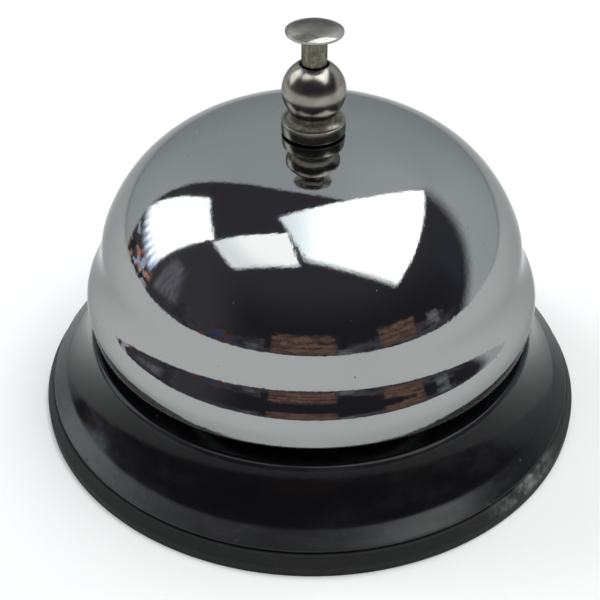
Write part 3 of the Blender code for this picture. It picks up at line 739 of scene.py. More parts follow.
def button_material():
    """Nickel with a brighter colour at the cap's edge that is a painted highlight, and a mottled stem
    that the guide has streaked.
    """
    material, place = new_material("button_nickel")
    x, y, height = split(place)
    stem = fall(height, 60.3 * MM, 60.8 * MM)
    radius = node("ShaderNodeVectorMath", {0: join(x, y)}, "Value", operation="LENGTH")
    # A ring of brighter colour towards the cap's edge: a painted highlight
    edge = rise(radius, 2.3 * MM, 3.6 * MM)
    streaks = noise(round_vector(place, 11.0, 0.0, 0.35), 1.0, 3.0, 0.65)
    tarnish = noise(place, 480.0, 4.0, 0.62)
    mottle = noise(place, 1300.0, 4.0, 0.7)
    pits = specks(place, 1.1, 0.20, 0.08)
    scuffs = hairlines(round_vector(place, 1.0, 9.0, 9.0), 0.03)
    cap_colour = blend(rise(tarnish, 0.35, 0.70), BUTTON_BRIGHT, BUTTON_DULL)
    # Painted highlight: the cap's edge is given a brighter colour
    cap_colour = blend(edge, cap_colour, BUTTON_EDGE_HIGHLIGHT)
    worn = streaks * 0.4 + mottle * 0.6
    stem_colour = blend(rise(worn, 0.38, 0.62), STEM_DULL, STEM_WORN)
    colour = blend(stem, cap_colour, stem_colour)
    cap_rough = tarnish * 0.06 + scuffs * 0.04 + 0.02
    roughness = blend_value(stem, cap_rough, streaks * 0.18 + 0.26)
    skin = bump(blend_value(stem, scuffs, streaks), 0.008)
    return pitted_metal(material, pits, colour, NICKEL_PIT, roughness, skin,
                        Specular_Tint=BUTTON_EDGE_TINT)


def paint_material():
    """Gloss black stoving paint: orange peel, a rougher bevel with a reflection painted on its front
    left and right, a highlight painted on the deck lip, rubbed haze, dust, and a worn rim.
    """
    material, place = new_material("black_paint")
    x, _, height = split(place)
    peel = noise(place, 1100.0)
    haze = noise(round_vector(place, 2.5, 0.0, 0.25), 1.0, 5.0, 0.65)
    patchy = noise(place, 260.0, 5.0, 0.7)
    dust = specks(place, 2.2, 0.16, 0.10)
    rim = fall(height, 4.1 * MM, 4.3 * MM) * rise(height, 3.2 * MM, 3.4 * MM)
    worn = rim * rise(patchy, 0.60, 0.66)
    rub = rise(haze, 0.48, 0.72) * rise(patchy, 0.3, 0.6)
    colour = blend(rub, PAINT_BLACK, PAINT_RUBBED)
    colour = blend(dust, colour, PAINT_DUST)
    colour = blend(worn, colour, PAINT_WORN)
    # Painted highlight: a paler thin ring where the deck's lip curves
    lip = rise(height, 11.9 * MM, 12.4 * MM) * fall(height, 12.78 * MM, 12.88 * MM)
    colour = blend(lip * rise(haze, 0.25, 0.65), colour, PAINT_LIP_HIGHLIGHT)
    # Painted reflection: a paler colour on the rough bevel at the front left and front right
    bevel = fall(height, (BEVEL_TOP - 0.3) * MM, (BEVEL_TOP + 0.3) * MM)
    left = rise(x, -14 * MM, -30 * MM, 0.32, 1.1)
    right = rise(x, 3 * MM, 16 * MM, 0.32, 1.1)
    dull = higher(left, right) * rise(x, 20 * MM, 28 * MM, 1.0, 0.1)
    dull = dull * bevel * rise(haze, 0.30, 0.60, 0.55, 1.0)
    colour = blend(dull, colour, PAINT_BEVEL_REFLECTION)
    roughness = rub * 0.14 + blend_value(bevel, 0.09, 0.21) + peel * 0.05
    roughness = blend_value(higher(dust, worn), roughness, 0.75)
    chipped = bump(opposite(worn), 0.04, bump(peel, 0.01))
    return surface(material, Base_Color=colour, Roughness=roughness, Normal=chipped,
                   Specular_IOR_Level=0.16)


def rubber_material():
    """Matt moulded rubber: fine grain, pale dust in the grain, and a pale mottled patch painted on the
    wall's front right as a highlight.
    """
    material, place = new_material("rubber")
    x, y, height = split(place)
    grain = noise(place, 2600.0, 3.0, 0.7)
    mottled = noise(place, 300.0, 5.0, 0.7)
    flow = noise(round_vector(place, 5.0, 0.0, 0.6), 1.0, 3.0, 0.6)
    dust = rise(mottled, 0.45, 0.75) * rise(grain, 0.35, 0.65)
    # Painted highlight: a pale mottled patch on the front right of the wall
    lit_side = rise(x, 24 * MM, 34 * MM) * rise(y, -18 * MM, -26 * MM)
    side_highlight = lit_side * rise(height, 1.2 * MM, 2.2 * MM) * rise(mottled, 0.35, 0.65)
    colour = blend(dust, RUBBER_BLACK, RUBBER_DUST)
    colour = blend(side_highlight, colour, RUBBER_SIDE_HIGHLIGHT)
    skin = bump(grain + flow * 2.0, 0.025)
    return surface(material, Base_Color=colour, Roughness=mottled * 0.15 + 0.62, Normal=skin,
                   Specular_IOR_Level=0.3)


def fibre_material():
    """Pressed fibre sheet: fine tangled flecks of red brown."""
    material, place = new_material("fibre")
    fleck = noise(place, 2400.0, 5.0, 0.75)
    tone = noise(place, 500.0, 3.0, 0.6)
    colour = blend(fleck, FIBRE_DARK, FIBRE_PALE)
    colour = blend(tone * 0.4, colour, FIBRE_TONE)
    return surface(material, Base_Color=colour, Roughness=0.78, Normal=bump(fleck, 0.03))


def nylon_material():
    """Off-white moulded nylon with a faint flow mottle."""
    material, place = new_material("nylon")
    mottle = noise(place, 600.0, 4.0, 0.6)
    fine = noise(place, 3000.0, 2.0, 0.6)
    colour = blend(mottle, NYLON_DARK, NYLON_PALE)
    return surface(material, Base_Color=colour, Roughness=fine * 0.15 + 0.35,
                   Normal=bump(fine, 0.008), Subsurface_Weight=0.1)


# Each finish is a material slot and its material
CHROME = ("chrome", chrome_material())
FINIAL_NICKEL = ("nickel", finial_material())
BUTTON_NICKEL = ("nickel", button_material())
PAINT = ("black_paint", paint_material())
RUBBER = ("rubber", rubber_material())
ZINC = ("zinc", plated_material("zinc_plate", ZINC_BRIGHT, ZINC_DULL, 0.26, 0.42, 12.0))
BRASS = ("brass", plated_material("brass", BRASS_BRIGHT, BRASS_DULL, 0.20, 0.36, 16.0))
SPRING_STEEL = ("spring_steel",
                plated_material("spring_steel", STEEL_BRIGHT, STEEL_DULL, 0.22, 0.38, 20.0))
FIBRE = ("fibre", fibre_material())
NYLON = ("nylon", nylon_material())


# ---- base

def make_foot():
    """Moulded rubber ring with a rounded top corner and a lip inside the base's rim."""
    profile = rounded([
        (FOOT_LIP_RADIUS, FOOT_LIP_HEIGHT, 0.2),
        (FOOT_LIP_RADIUS, FOOT_HEIGHT, 0.1),
        (FOOT_TOP_RADIUS, FOOT_HEIGHT, 0.35),
        (FOOT_RADIUS, FOOT_STRAIGHT_HEIGHT, 0.5),
        (FOOT_RADIUS, 0.0, 0.15),
        (FOOT_INNER_RADIUS, 0.0, 0.15),
        (FOOT_INNER_RADIUS, FOOT_LIP_HEIGHT, 0.2),
    ], steps=5)
    keep_flats(turned_piece("foot_moulding", profile, LARGE_TURN, "root", "foot_ring", RUBBER))


def base_outer_profile():
    """Flat deck, rounded lip, hollow flare, bevel and rim."""
    flare_centre = (
        BEVEL_TOP_RADIUS + FLARE_RADIUS * cos(FLARE_START),
        BEVEL_TOP + FLARE_RADIUS * sin(FLARE_START),
    )
    flare = arc(flare_centre, FLARE_RADIUS, 180.0 + FLARE_END_DEG, 180.0 + FLARE_START_DEG, 30)
    lip_centre = (flare[0][0] - DECK_LIP_RADIUS * cos(FLARE_END), LIP_CENTRE_HEIGHT)
    lip = arc(lip_centre, DECK_LIP_RADIUS, 90.0, FLARE_END_DEG, 10)[:-1]
    deck = [(radius, DECK_TOP) for radius in DECK_RINGS]
    rim_top = (BASE_RIM_RADIUS, BASE_RIM_TOP)
    rim_bottom = (BASE_RIM_RADIUS, BASE_RIM_BOTTOM)
    bevel_edge = fillet(flare[-2], flare[-1], rim_top, 0.4)
    rim_edge = fillet(flare[-1], rim_top, rim_bottom, 0.2)
    return deck + lip + flare[:-1] + bevel_edge + rim_edge + [rim_bottom]


def make_base():
    """Pressed shell, drilled for the two rivets."""
    outer = base_outer_profile()
    inner = inner_side(outer, BASE_SHEET)
    inner[0] = (0.0, DECK_TOP - BASE_SHEET)
    inner[-1] = (BASE_RIM_RADIUS - BASE_SHEET, BASE_RIM_BOTTOM)
    edge = fillet(outer[-2], outer[-1], inner[-1], 0.1, 3)
    profile = outer[:-1] + edge + inner[::-1]
    item = turned_piece("base_pressing", profile, LARGE_TURN, "root", "base_shell", PAINT)
    for side in (-1, 1):
        drill(item, RIVET_HOLE_RADIUS, SHEET_DRILL, (RIVET_X, side * RIVET_Y, DECK_TOP))
    keep_flats(item)


# ---- support frame

def frame_outline():
    """Bent strip seen along X: feet, legs and the bridge between them."""
    inner_y = LEG_OUTER_Y - STRIP
    inner_bend = BEND_RADIUS - STRIP
    foot_top = FRAME_FOOT_BOTTOM + STRIP
    under_bridge = FRAME_TOP - STRIP
    end_bottom = (FOOT_END_Y, FRAME_FOOT_BOTTOM)
    end_top = (FOOT_END_Y, foot_top)
    right = [(0.0, under_bridge)]
    right += arc((inner_y - inner_bend, under_bridge - inner_bend), inner_bend, 90.0, 0.0, 6)
    right += arc((inner_y + BEND_RADIUS, FRAME_FOOT_BOTTOM + BEND_RADIUS), BEND_RADIUS, 180.0, 270.0, 12)
    right += fillet((0.0, FRAME_FOOT_BOTTOM), end_bottom, end_top, 0.15)
    right += fillet(end_bottom, end_top, (0.0, foot_top), 0.15)
    right += arc((LEG_OUTER_Y + inner_bend, foot_top + inner_bend), inner_bend, 270.0, 180.0, 6)
    right += arc((LEG_OUTER_Y - BEND_RADIUS, FRAME_TOP - BEND_RADIUS), BEND_RADIUS, 0.0, 90.0, 12)
    right += [(0.0, FRAME_TOP)]
    left = [(-y, z) for y, z in reversed(right[1:-1])]
    return right + left


def make_frame():
    """The bent strip, drilled for the sleeve, the pivot pin and the rivets."""
    middle_x = (FRAME_MIN_X + FRAME_MAX_X) / 2
    item = plate_piece("bridge_strip", [frame_outline()], FRAME_MAX_X - FRAME_MIN_X, "root",
                       "support_frame", ZINC, turned_to((middle_x, 0.0, 0.0), QUARTER, 0.0, QUARTER))
    drill(item, SPIGOT_HOLE_RADIUS, SHEET_DRILL, (0.0, 0.0, FRAME_TOP))
    drill(item, PIN_HOLE_RADIUS, CROSS_DRILL, PIVOT, QUARTER)
    for side in (-1, 1):
        drill(item, RIVET_HOLE_RADIUS, SHEET_DRILL, (RIVET_X, side * RIVET_Y, FRAME_FOOT_BOTTOM))
    soften_edges(item, 0.12)


def make_rivets():
    """Domed above and below, with a shank through deck and foot."""
    under = DECK_TOP - BASE_SHEET - GAP
    over = FRAME_FOOT_BOTTOM + STRIP + GAP
    head = dome(RIVET_HEAD_RADIUS, RIVET_HEAD_HEIGHT, 0.0, 12)
    top = [(radius, over + height) for radius, height in head]
    bottom = [(radius, under - height) for radius, height in reversed(head)]
    profile = top + [(RIVET_RADIUS, over), (RIVET_RADIUS, under)] + bottom
    for side, label in ((-1, "left"), (1, "right")):
        turned_piece(f"rivet_{label}", profile, SMALL_TURN, "root", f"frame_rivet_{label}", ZINC,
                     turned_to((RIVET_X, side * RIVET_Y, 0.0)), sharp_deg=40.0)


def make_sleeve():
    """Spigot, shoulder, column and flange, bored for the rod and for the finial's shank."""
    shoulder = FRAME_TOP + GAP
    shoulder_top = shoulder + SLEEVE_SHOULDER_HEIGHT
    socket_radius = SHANK_RADIUS + GAP
    socket_bottom = SHANK_BOTTOM - GAP
    flange_bottom = SLEEVE_TOP - SLEEVE_FLANGE_HEIGHT
    profile = rounded([
        (socket_radius, SLEEVE_TOP, 0.15),
        (SLEEVE_FLANGE_RADIUS, SLEEVE_TOP, 0.15),
        (SLEEVE_FLANGE_RADIUS, flange_bottom, 0.15),
        (SLEEVE_COLUMN_RADIUS, flange_bottom, 0.4),
        (SLEEVE_COLUMN_RADIUS, shoulder_top, 0.3),
        (SLEEVE_SHOULDER_RADIUS, shoulder_top, 0.2),
        (SLEEVE_SHOULDER_RADIUS, shoulder, 0.2),
        (SLEEVE_SPIGOT_RADIUS, shoulder),
        (SLEEVE_SPIGOT_RADIUS, SLEEVE_BOTTOM, 0.25),
        (ROD_BORE_RADIUS, SLEEVE_BOTTOM, 0.15),
        (ROD_BORE_RADIUS, socket_bottom, 0.1),
        (socket_radius, socket_bottom),
    ])
    keep_flats(turned_piece("gong_post", profile, MEDIUM_TURN, "root", "sleeve", ZINC))


def make_nut_and_washers():
    """Lock washer and chamfered hexagon nut under the bridge, and the gong's fibre washers."""
    washer_bottom = FRAME_TOP - STRIP - GAP - LOCK_WASHER_HEIGHT
    ring_piece("lock_washer", "sleeve_lock_washer", SPIGOT_HOLE_RADIUS, LOCK_WASHER_RADIUS,
               washer_bottom, LOCK_WASHER_HEIGHT, SPRING_STEEL)
    outlines = [circle((0.0, 0.0), NUT_RADIUS, 6), circle((0.0, 0.0), SPIGOT_HOLE_RADIUS, 48)]
    nut = plate_piece("hexagon_nut", outlines, NUT_HEIGHT, "root", "sleeve_nut", ZINC,
                      turned_to((0.0, 0.0, washer_bottom - GAP - NUT_HEIGHT / 2)))
    soften_edges(nut, 0.15)
    ring_piece("seat_washer", "dome_seat_washer", GONG_HOLE_RADIUS, SEAT_WASHER_RADIUS,
               SLEEVE_TOP + GAP, SEAT_WASHER_HEIGHT, FIBRE, 0.06)
    bottom = GONG_TOP + GAP
    height = COLLAR_BOTTOM + COLLAR_RECESS_DEPTH - GAP - bottom
    ring_piece("top_washer", "finial_washer", SHANK_RADIUS + GAP, COLLAR_RECESS_RADIUS - GAP,
               bottom, height, FIBRE, 0.06)


# ---- gong and finial

def crown(count):
    """Superelliptic crown, from the hole in its top to where the waist begins."""
    power = 2 / CROWN_EXPONENT
    start = asin((GONG_HOLE_RADIUS / CROWN_RADIUS) ** (1 / power))
    end = acos(((CROWN_END - CROWN_CENTRE) / CROWN_HEIGHT) ** (1 / power))
    points = []
    for index in range(count + 1):
        angle = start + (end - start) * index / count
        points.append((CROWN_RADIUS * sin(angle) ** power,
                       CROWN_CENTRE + CROWN_HEIGHT * cos(angle) ** power))
    return points


def straight(start, end, steps):
    """Points after start, up to and with end."""
    return [tuple(Vector(start).lerp(Vector(end), index / steps)) for index in range(1, steps + 1)]


def gong_outer_profile():
    """Crown, waist, cone, bead and a straight rim, from the hole down."""
    outward = Vector((cos(WAIST_SLOPE), sin(WAIST_SLOPE)))
    start_deg = degrees(asin(outward[1] + (CROWN_END - WAIST_TOP) / WAIST_OUTER_ARC))
    outer_centre = Vector((WAIST_TOP_RADIUS, WAIST_TOP)) - WAIST_OUTER_ARC * outward
    inner_centre = Vector((WAIST_RADIUS, WAIST_LEVEL)) + WAIST_INNER_ARC * outward
    upper = arc(outer_centre, WAIST_OUTER_ARC, start_deg, WAIST_DEG, 12)[1:]
    lower = arc(inner_centre, WAIST_INNER_ARC, 180.0 + WAIST_DEG, 180.0 + CONE_DEG, 16)
    bead = arc((BEAD_CENTRE_RADIUS, BEAD_CENTRE_HEIGHT), BEAD_ARC, CONE_DEG, BEAD_END_DEG, 20)
    cone = straight(lower[-1], bead[0], 4)[:-1]
    drop = bead[-1][1] - GONG_RIM
    rim_radius = bead[-1][0] + drop * tan(radians(BEAD_END_DEG))
    taper = straight(bead[-1], (rim_radius, GONG_RIM), 6)
    return eased(crown(96) + upper + lower + cone + bead + taper, 6)


def make_gong():
    """Thin shell, rounded at its rim and round its hole."""
    outer = gong_outer_profile()
    inner = inner_side(outer, GONG_SHEET)
    rim = fillet(outer[-2], outer[-1], inner[-1], 0.2, 3)
    rim += fillet(outer[-1], inner[-1], inner[-2], 0.2, 3)
    hole = fillet(inner[1], inner[0], outer[0], 0.15, 3)
    hole += fillet(inner[0], outer[0], outer[1], 0.15, 3)
    profile = outer[1:-1] + rim + inner[-2:0:-1] + hole
    turned_piece("gong_shell", profile, LARGE_TURN, "root", "bell_dome", CHROME)


def make_finial():
    """Ball with a bored mouth, cove, collar, recess and shank, as one turning."""
    bore_deg = degrees(acos(BALL_BORE_RADIUS / BALL_RADIUS))
    ball = arc((0.0, BALL_CENTRE), BALL_RADIUS, bore_deg, BALL_END_DEG, 64)
    mouth_height = ball[0][1]
    cove_radius = COLLAR_RADIUS - ball[-1][0]
    cove = arc((COLLAR_RADIUS, COLLAR_TOP + cove_radius), cove_radius, 180.0, 270.0, 20)
    recess_top = COLLAR_BOTTOM + COLLAR_RECESS_DEPTH
    body = rounded([
        (COLLAR_RADIUS - 0.3, COLLAR_TOP),
        (COLLAR_RADIUS, COLLAR_TOP, 0.12),
        (COLLAR_RADIUS, COLLAR_BOTTOM, 0.12),
        (COLLAR_RECESS_RADIUS, COLLAR_BOTTOM, 0.05),
        (COLLAR_RECESS_RADIUS, recess_top),
        (SHANK_RADIUS, recess_top, 0.1),
        (SHANK_RADIUS, SHANK_BOTTOM, 0.3),
        (ROD_BORE_RADIUS, SHANK_BOTTOM, 0.1),
        (ROD_BORE_RADIUS, SPRING_SEAT, 0.1),
        (BALL_BORE_RADIUS, SPRING_SEAT),
        (BALL_BORE_RADIUS, mouth_height - 0.2),
    ])
    mouth = fillet((BALL_BORE_RADIUS, mouth_height - 0.4), ball[0], ball[2], 0.1)
    profile = mouth + ball[2:] + cove[1:-2] + body[1:]
    keep_flats(turned_piece("finial_turning", profile, MEDIUM_TURN, "root", "finial", FINIAL_NICKEL,
                            sharp_deg=50.0))


# ---- plunger

def make_button():
    """Low domed cap with a rolled edge over a thick stem."""
    cap = dome(BUTTON_RADIUS, BUTTON_CROWN, BUTTON_RIM, 32)
    socket_radius = ROD_RADIUS + GAP
    body = rounded([
        cap[-2],
        (BUTTON_RADIUS, BUTTON_RIM, 0.15),
        (BUTTON_RADIUS, BUTTON_RIM - BUTTON_EDGE, 0.15),
        (STEM_RADIUS + BUTTON_FOOT, BUTTON_RIM - 1.6 * BUTTON_EDGE, 0.4),
        (STEM_RADIUS, BUTTON_RIM - 4 * BUTTON_EDGE, 0.5),
        (STEM_RADIUS, STEM_BOTTOM, 0.15),
        (socket_radius, STEM_BOTTOM, 0.1),
        (socket_radius, STEM_SOCKET_TOP),
        (0.0, STEM_SOCKET_TOP),
    ])
    keep_flats(turned_piece("button_cap", cap[:-2] + body, MEDIUM_TURN, "plunger", "button",
                            BUTTON_NICKEL, sharp_deg=60.0))


def groove(radius, top, bottom):
    """Corners of a clip's groove in a rod or pin."""
    return [(radius, top, 0.05), (CLIP_GROOVE_RADIUS, top),
            (CLIP_GROOVE_RADIUS, bottom), (radius, bottom, 0.05)]


def make_rod():
    """Rod with a round tip, a chamfered top and a groove for its clip."""
    top = STEM_SOCKET_TOP - GAP
    tip_top = ROD_TIP + ROD_RADIUS
    body = rounded([
        (0.0, top),
        (ROD_RADIUS, top, 0.15),
        *groove(ROD_RADIUS, ROD_CLIP_BOTTOM + CLIP_THICKNESS + GAP, ROD_CLIP_BOTTOM - GAP),
        (ROD_RADIUS, tip_top),
    ])
    tip = arc((0.0, tip_top), ROD_RADIUS, 0.0, -90.0, 10)[1:-1] + [(0.0, ROD_TIP)]
    keep_flats(turned_piece("rod_steel", body + tip, PIN_TURN, "plunger", "push_rod", ZINC,
                            sharp_deg=50.0))


def clip_outline(outer):
    """Retaining ring: a C with rounded lips at its mouth, which is along +X."""
    middle = (outer + CLIP_INNER_RADIUS) / 2
    half = (outer - CLIP_INNER_RADIUS) / 2
    mouth = radians(CLIP_MOUTH_DEG)
    upper = (middle * cos(mouth), middle * sin(mouth))
    lower = (upper[0], -upper[1])
    far_side = 360.0 - CLIP_MOUTH_DEG
    outline = arc((0.0, 0.0), outer, CLIP_MOUTH_DEG, far_side, 48)
    outline += arc(lower, half, -CLIP_MOUTH_DEG, 180.0 - CLIP_MOUTH_DEG, 8)[1:-1]
    outline += arc((0.0, 0.0), CLIP_INNER_RADIUS, far_side, CLIP_MOUTH_DEG, 40)
    outline += arc(upper, half, 180.0 + CLIP_MOUTH_DEG, 360.0 + CLIP_MOUTH_DEG, 8)[1:-1]
    return outline


def make_clip(name, node_name, body, outer, place):
    """Retaining ring of an outer radius, stamped from sheet."""
    item = plate_piece(name, [clip_outline(outer)], CLIP_THICKNESS, body, node_name, SPRING_STEEL, place)
    soften_edges(item, 0.06)


def make_rod_clip():
    """Retaining ring in the rod's groove, with its mouth turned to the back."""
    place = turned_to((0.0, 0.0, ROD_CLIP_BOTTOM + CLIP_THICKNESS / 2), z_turn=QUARTER)
    make_clip("rod_retainer", "rod_clip", "plunger", ROD_CLIP_RADIUS, place)


def spring_centres(steps):
    """The coil's middle line, with a closed turn at each end."""
    bottom = SPRING_BOTTOM + SPRING_WIRE_RADIUS
    top = SPRING_TOP - SPRING_WIRE_RADIUS
    closed = SPRING_CLOSED_PITCH
    open_rise = (top - bottom - 2 * closed) / (SPRING_TURNS - 2)
    centres = []
    for index in range(steps + 1):
        turns = index / steps * SPRING_TURNS
        turns_left = SPRING_TURNS - turns
        if turns < 1.0:
            height = bottom + closed * turns
        elif turns_left < 1.0:
            height = top - closed * turns_left
        else:
            height = bottom + closed + open_rise * (turns - 1)
        angle = tau * turns
        centres.append(Vector((SPRING_RADIUS * cos(angle), SPRING_RADIUS * sin(angle), height)))
    return centres


def make_spring():
    """Coil with closed ends."""
    steps = SPRING_TURNS * 48
    sides = 12
    centres = spring_centres(steps)
    vertices = []
    for index, centre in enumerate(centres):
        along = (centres[min(index + 1, steps)] - centres[max(index - 1, 0)]).normalized()
        outward = Vector((centre.x, centre.y, 0.0)).normalized()
        upward = along.cross(outward).normalized()
        for side in range(sides):
            angle = tau * side / sides
            offset = outward * cos(angle) + upward * sin(angle)
            vertices.append(tuple((centre + offset * SPRING_WIRE_RADIUS) * MM))
    faces = [tuple(range(sides))]
    for row in range(0, steps * sides, sides):
        for side in range(sides):
            after = (side + 1) % sides
            faces.append((row + side, row + sides + side, row + sides + after, row + after))
    faces.append(tuple(range(steps * sides + sides - 1, steps * sides - 1, -1)))
    mesh = bpy.data.meshes.new("spring_coil")
    mesh.from_pydata(vertices, [], faces)
    with_bmesh(mesh, lambda work: bmesh.ops.recalc_face_normals(work, faces=work.faces))
    shade_smooth(mesh)
    item = add_piece("spring_coil", mesh, "root", "return_spring", SPRING_STEEL)
    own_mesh(item)


# ---- striker

def arm_point(along, across):
    """A point along and across the hammer arm, from the pivot, as (x, z)."""
    arm_cos = cos(HAMMER_ARM)
    arm_sin = sin(HAMMER_ARM)
    return (along * arm_cos - across * arm_sin, along * arm_sin + across * arm_cos)


def on_arm(along):
    """A place on the hammer arm's middle line, in the bell's frame."""
    x, z = arm_point(along, 0.0)
    return (PIVOT_X + x, 0.0, PIVOT_Z + z)


def lever_outline():
    """Stamped blade about the pivot, with rounded ends and blended arms."""
    hub_join_deg = degrees(asin(LEVER_HALF_WIDTH / LEVER_HUB_RADIUS))
    end = HAMMER_ARM_LENGTH + LEVER_OVERHANG - LEVER_CORNER
    side = LEVER_HALF_WIDTH - LEVER_CORNER
    outline = arc((LEVER_HALF_WIDTH - INNER_ARM_LENGTH, 0.0), LEVER_HALF_WIDTH, 90.0, 270.0, 24)
    outline += arc((0.0, 0.0), LEVER_HUB_RADIUS, 180.0 + hub_join_deg,
                   360.0 + HAMMER_ARM_DEG - hub_join_deg, 24)
    outline += arc(arm_point(end, -side), LEVER_CORNER, HAMMER_ARM_DEG - 90.0, HAMMER_ARM_DEG, 8)
    outline += arc(arm_point(end, side), LEVER_CORNER, HAMMER_ARM_DEG, HAMMER_ARM_DEG + 90.0, 8)
    outline += arc((0.0, 0.0), LEVER_HUB_RADIUS, HAMMER_ARM_DEG + hub_join_deg, 180.0 - hub_join_deg, 24)
    return outline


def make_lever():
    """Flat blade with a hole for the pivot and one for the hammer's pin."""
    pivot_hole = circle((0.0, 0.0), PIN_HOLE_RADIUS, 48)
    hammer_hole = circle(arm_point(HAMMER_ARM_LENGTH, 0.0), HAMMER_PIN_RADIUS + GAP, 40)
    item = plate_piece("lever_blade", [lever_outline(), pivot_hole, hammer_hole], LEVER_THICKNESS,
                       "striker", "striker_lever", ZINC, turned_to(PIVOT, QUARTER))
    soften_edges(item, 0.12)


def slot_mesh():
    """The box that is cut from the hammer for the blade."""
    size = (HAMMER_SLOT_LENGTH + SLOT_OVERRUN, LEVER_THICKNESS + 2 * GAP, 3 * HAMMER_RADIUS)
    mesh = bpy.data.meshes.new("slot")
    with_bmesh(mesh, lambda work: bmesh.ops.create_cube(work, size=MM))
    mesh.transform(Matrix.Diagonal((*size, 1.0)))
    return mesh


def make_hammer():
    """Brass weight with a crowned face, slotted for the blade and cross-drilled for its pin."""
    half = HAMMER_LENGTH / 2
    face = dome(HAMMER_RADIUS, HAMMER_CROWN, half, 12, FACE_INSET)
    body = rounded([
        face[-1],
        (HAMMER_RADIUS, half - FACE_INSET, 0.5),
        (HAMMER_RADIUS, -half, 0.5),
        (0.0, -half),
    ], steps=6)
    centre = on_arm(HAMMER_ARM_LENGTH)
    item = turned_piece("hammer_head", face[:-1] + body, SMALL_TURN, "striker", "hammer", BRASS,
                        turned_to(centre, y_turn=QUARTER - HAMMER_ARM))
    slot_middle = HAMMER_ARM_LENGTH - half + (HAMMER_SLOT_LENGTH - SLOT_OVERRUN) / 2
    cut_with(item, slot_mesh(), turned_to(on_arm(slot_middle), y_turn=-HAMMER_ARM))
    drill(item, HAMMER_PIN_RADIUS + GAP, CROSS_DRILL, centre, QUARTER)
    soften_edges(item, 0.06)


def make_hammer_pin():
    """Plain pin across the hammer and the blade."""
    half = HAMMER_PIN_LENGTH / 2
    edge = [(HAMMER_PIN_RADIUS, half, 0.15), (HAMMER_PIN_RADIUS, -half, 0.15)]
    profile = rounded([(0.0, half)] + edge + [(0.0, -half)])
    keep_flats(turned_piece("cross_pin", profile, PIN_TURN, "striker", "hammer_pin", ZINC,
                            turned_to(on_arm(HAMMER_ARM_LENGTH), QUARTER)))


def make_pivot():
    """Headed pivot pin across the frame, with its clip and two nylon spacers."""
    head_start = LEG_OUTER_Y + GAP
    head_end = head_start + PIN_HEAD_HEIGHT
    groove_end = head_start + CLIP_THICKNESS + GAP
    profile = rounded([
        (0.0, head_end),
        (PIN_HEAD_RADIUS, head_end, 0.3),
        (PIN_HEAD_RADIUS, head_start, 0.1),
        (PIN_RADIUS, head_start),
        *groove(PIN_RADIUS, GAP - head_start, -groove_end),
        (PIN_RADIUS, -groove_end - PIN_TAIL, 0.15),
        (0.0, -groove_end - PIN_TAIL),
    ])
    keep_flats(turned_piece("axle_pin", profile, PIN_TURN, "root", "pivot_pin", ZINC,
                            turned_to(PIVOT, -QUARTER), sharp_deg=50.0))
    clip_y = -(head_start + CLIP_THICKNESS / 2)
    make_clip("axle_clip", "pivot_clip", "root", PIN_HEAD_RADIUS,
              turned_to((PIVOT_X, clip_y, PIVOT_Z), QUARTER))
    inner_end = LEVER_THICKNESS / 2 + GAP
    length = LEG_OUTER_Y - STRIP - GAP - inner_end
    for side, label in ((-1, "left"), (1, "right")):
        ring_piece(f"spacer_{label}", f"pivot_spacer_{label}", PIN_HOLE_RADIUS, SPACER_RADIUS,
                   inner_end, length, NYLON, 0.12, turned_to(PIVOT, -side * QUARTER))


# ---- room, floor and camera

def direction(azimuth, elevation):
    """A unit vector. Azimuth 0 is towards the camera, along -Y, and 90 is along +X."""
    azimuth = radians(azimuth)
    elevation = radians(elevation)
    return Vector((sin(azimuth) * cos(elevation),
                   -cos(azimuth) * cos(elevation), sin(elevation)))


def overhead(x, y):
    """The direction of a point on a ceiling one metre up."""
    return Vector((x, y, 1.0)).normalized()


def side_of(way, normal, low, high):
    """How far a direction is to one side of a plane through the bell, smoothly from 0 to 1."""
    inputs = {0: way, 1: tuple(normal)}
    return rise(node("ShaderNodeVectorMath", inputs, "Value", operation="DOT_PRODUCT"), low, high)


def panel(way, corners, softness):
    """Mask of a convex flat-edged panel, from its corners' directions and each edge's softness."""
    middle = sum(corners, Vector())
    mask = None
    for index, (corner, soft) in enumerate(zip(corners, softness)):
        normal = corner.cross(corners[(index + 1) % len(corners)]).normalized()
        if normal.dot(middle) < 0:
            normal.negate()
        edge = side_of(way, normal, -soft, soft)
        mask = edge if mask is None else mask * edge
    return mask


def facing(way, softness, *places):
    """A panel whose corners are given by azimuth and elevation."""
    return panel(way, [direction(*place) for place in places], softness)


def above(way, softness, *places):
    """A panel whose corners are points on the ceiling."""
    return panel(way, [overhead(*place) for place in places], softness)


def azimuth_of(way):
    """The azimuth of a direction, in radians."""
    x, y, _ = split(way)
    return x.calc("ARCTAN2", y * -1.0)


def cells(vector, **settings):
    """The colour of a random cell pattern, as three numbers."""
    inputs = {"Vector": vector, "Scale": 1.0}
    return split(node("ShaderNodeTexVoronoi", inputs, "Color", **settings))


def ceiling(way):
    """Dim ceiling, darker towards the front and near the floor, and a paler wall at the left."""
    x, y, z = split(way)
    front = fall(y, -0.5, 0.4) * fall(z, 0.3, 0.8)
    colour = blend(front, (0.066, 0.063, 0.075), (0.031, 0.030, 0.039))
    return blend(fall(x, -0.85, -0.45), colour, (0.088, 0.084, 0.096))


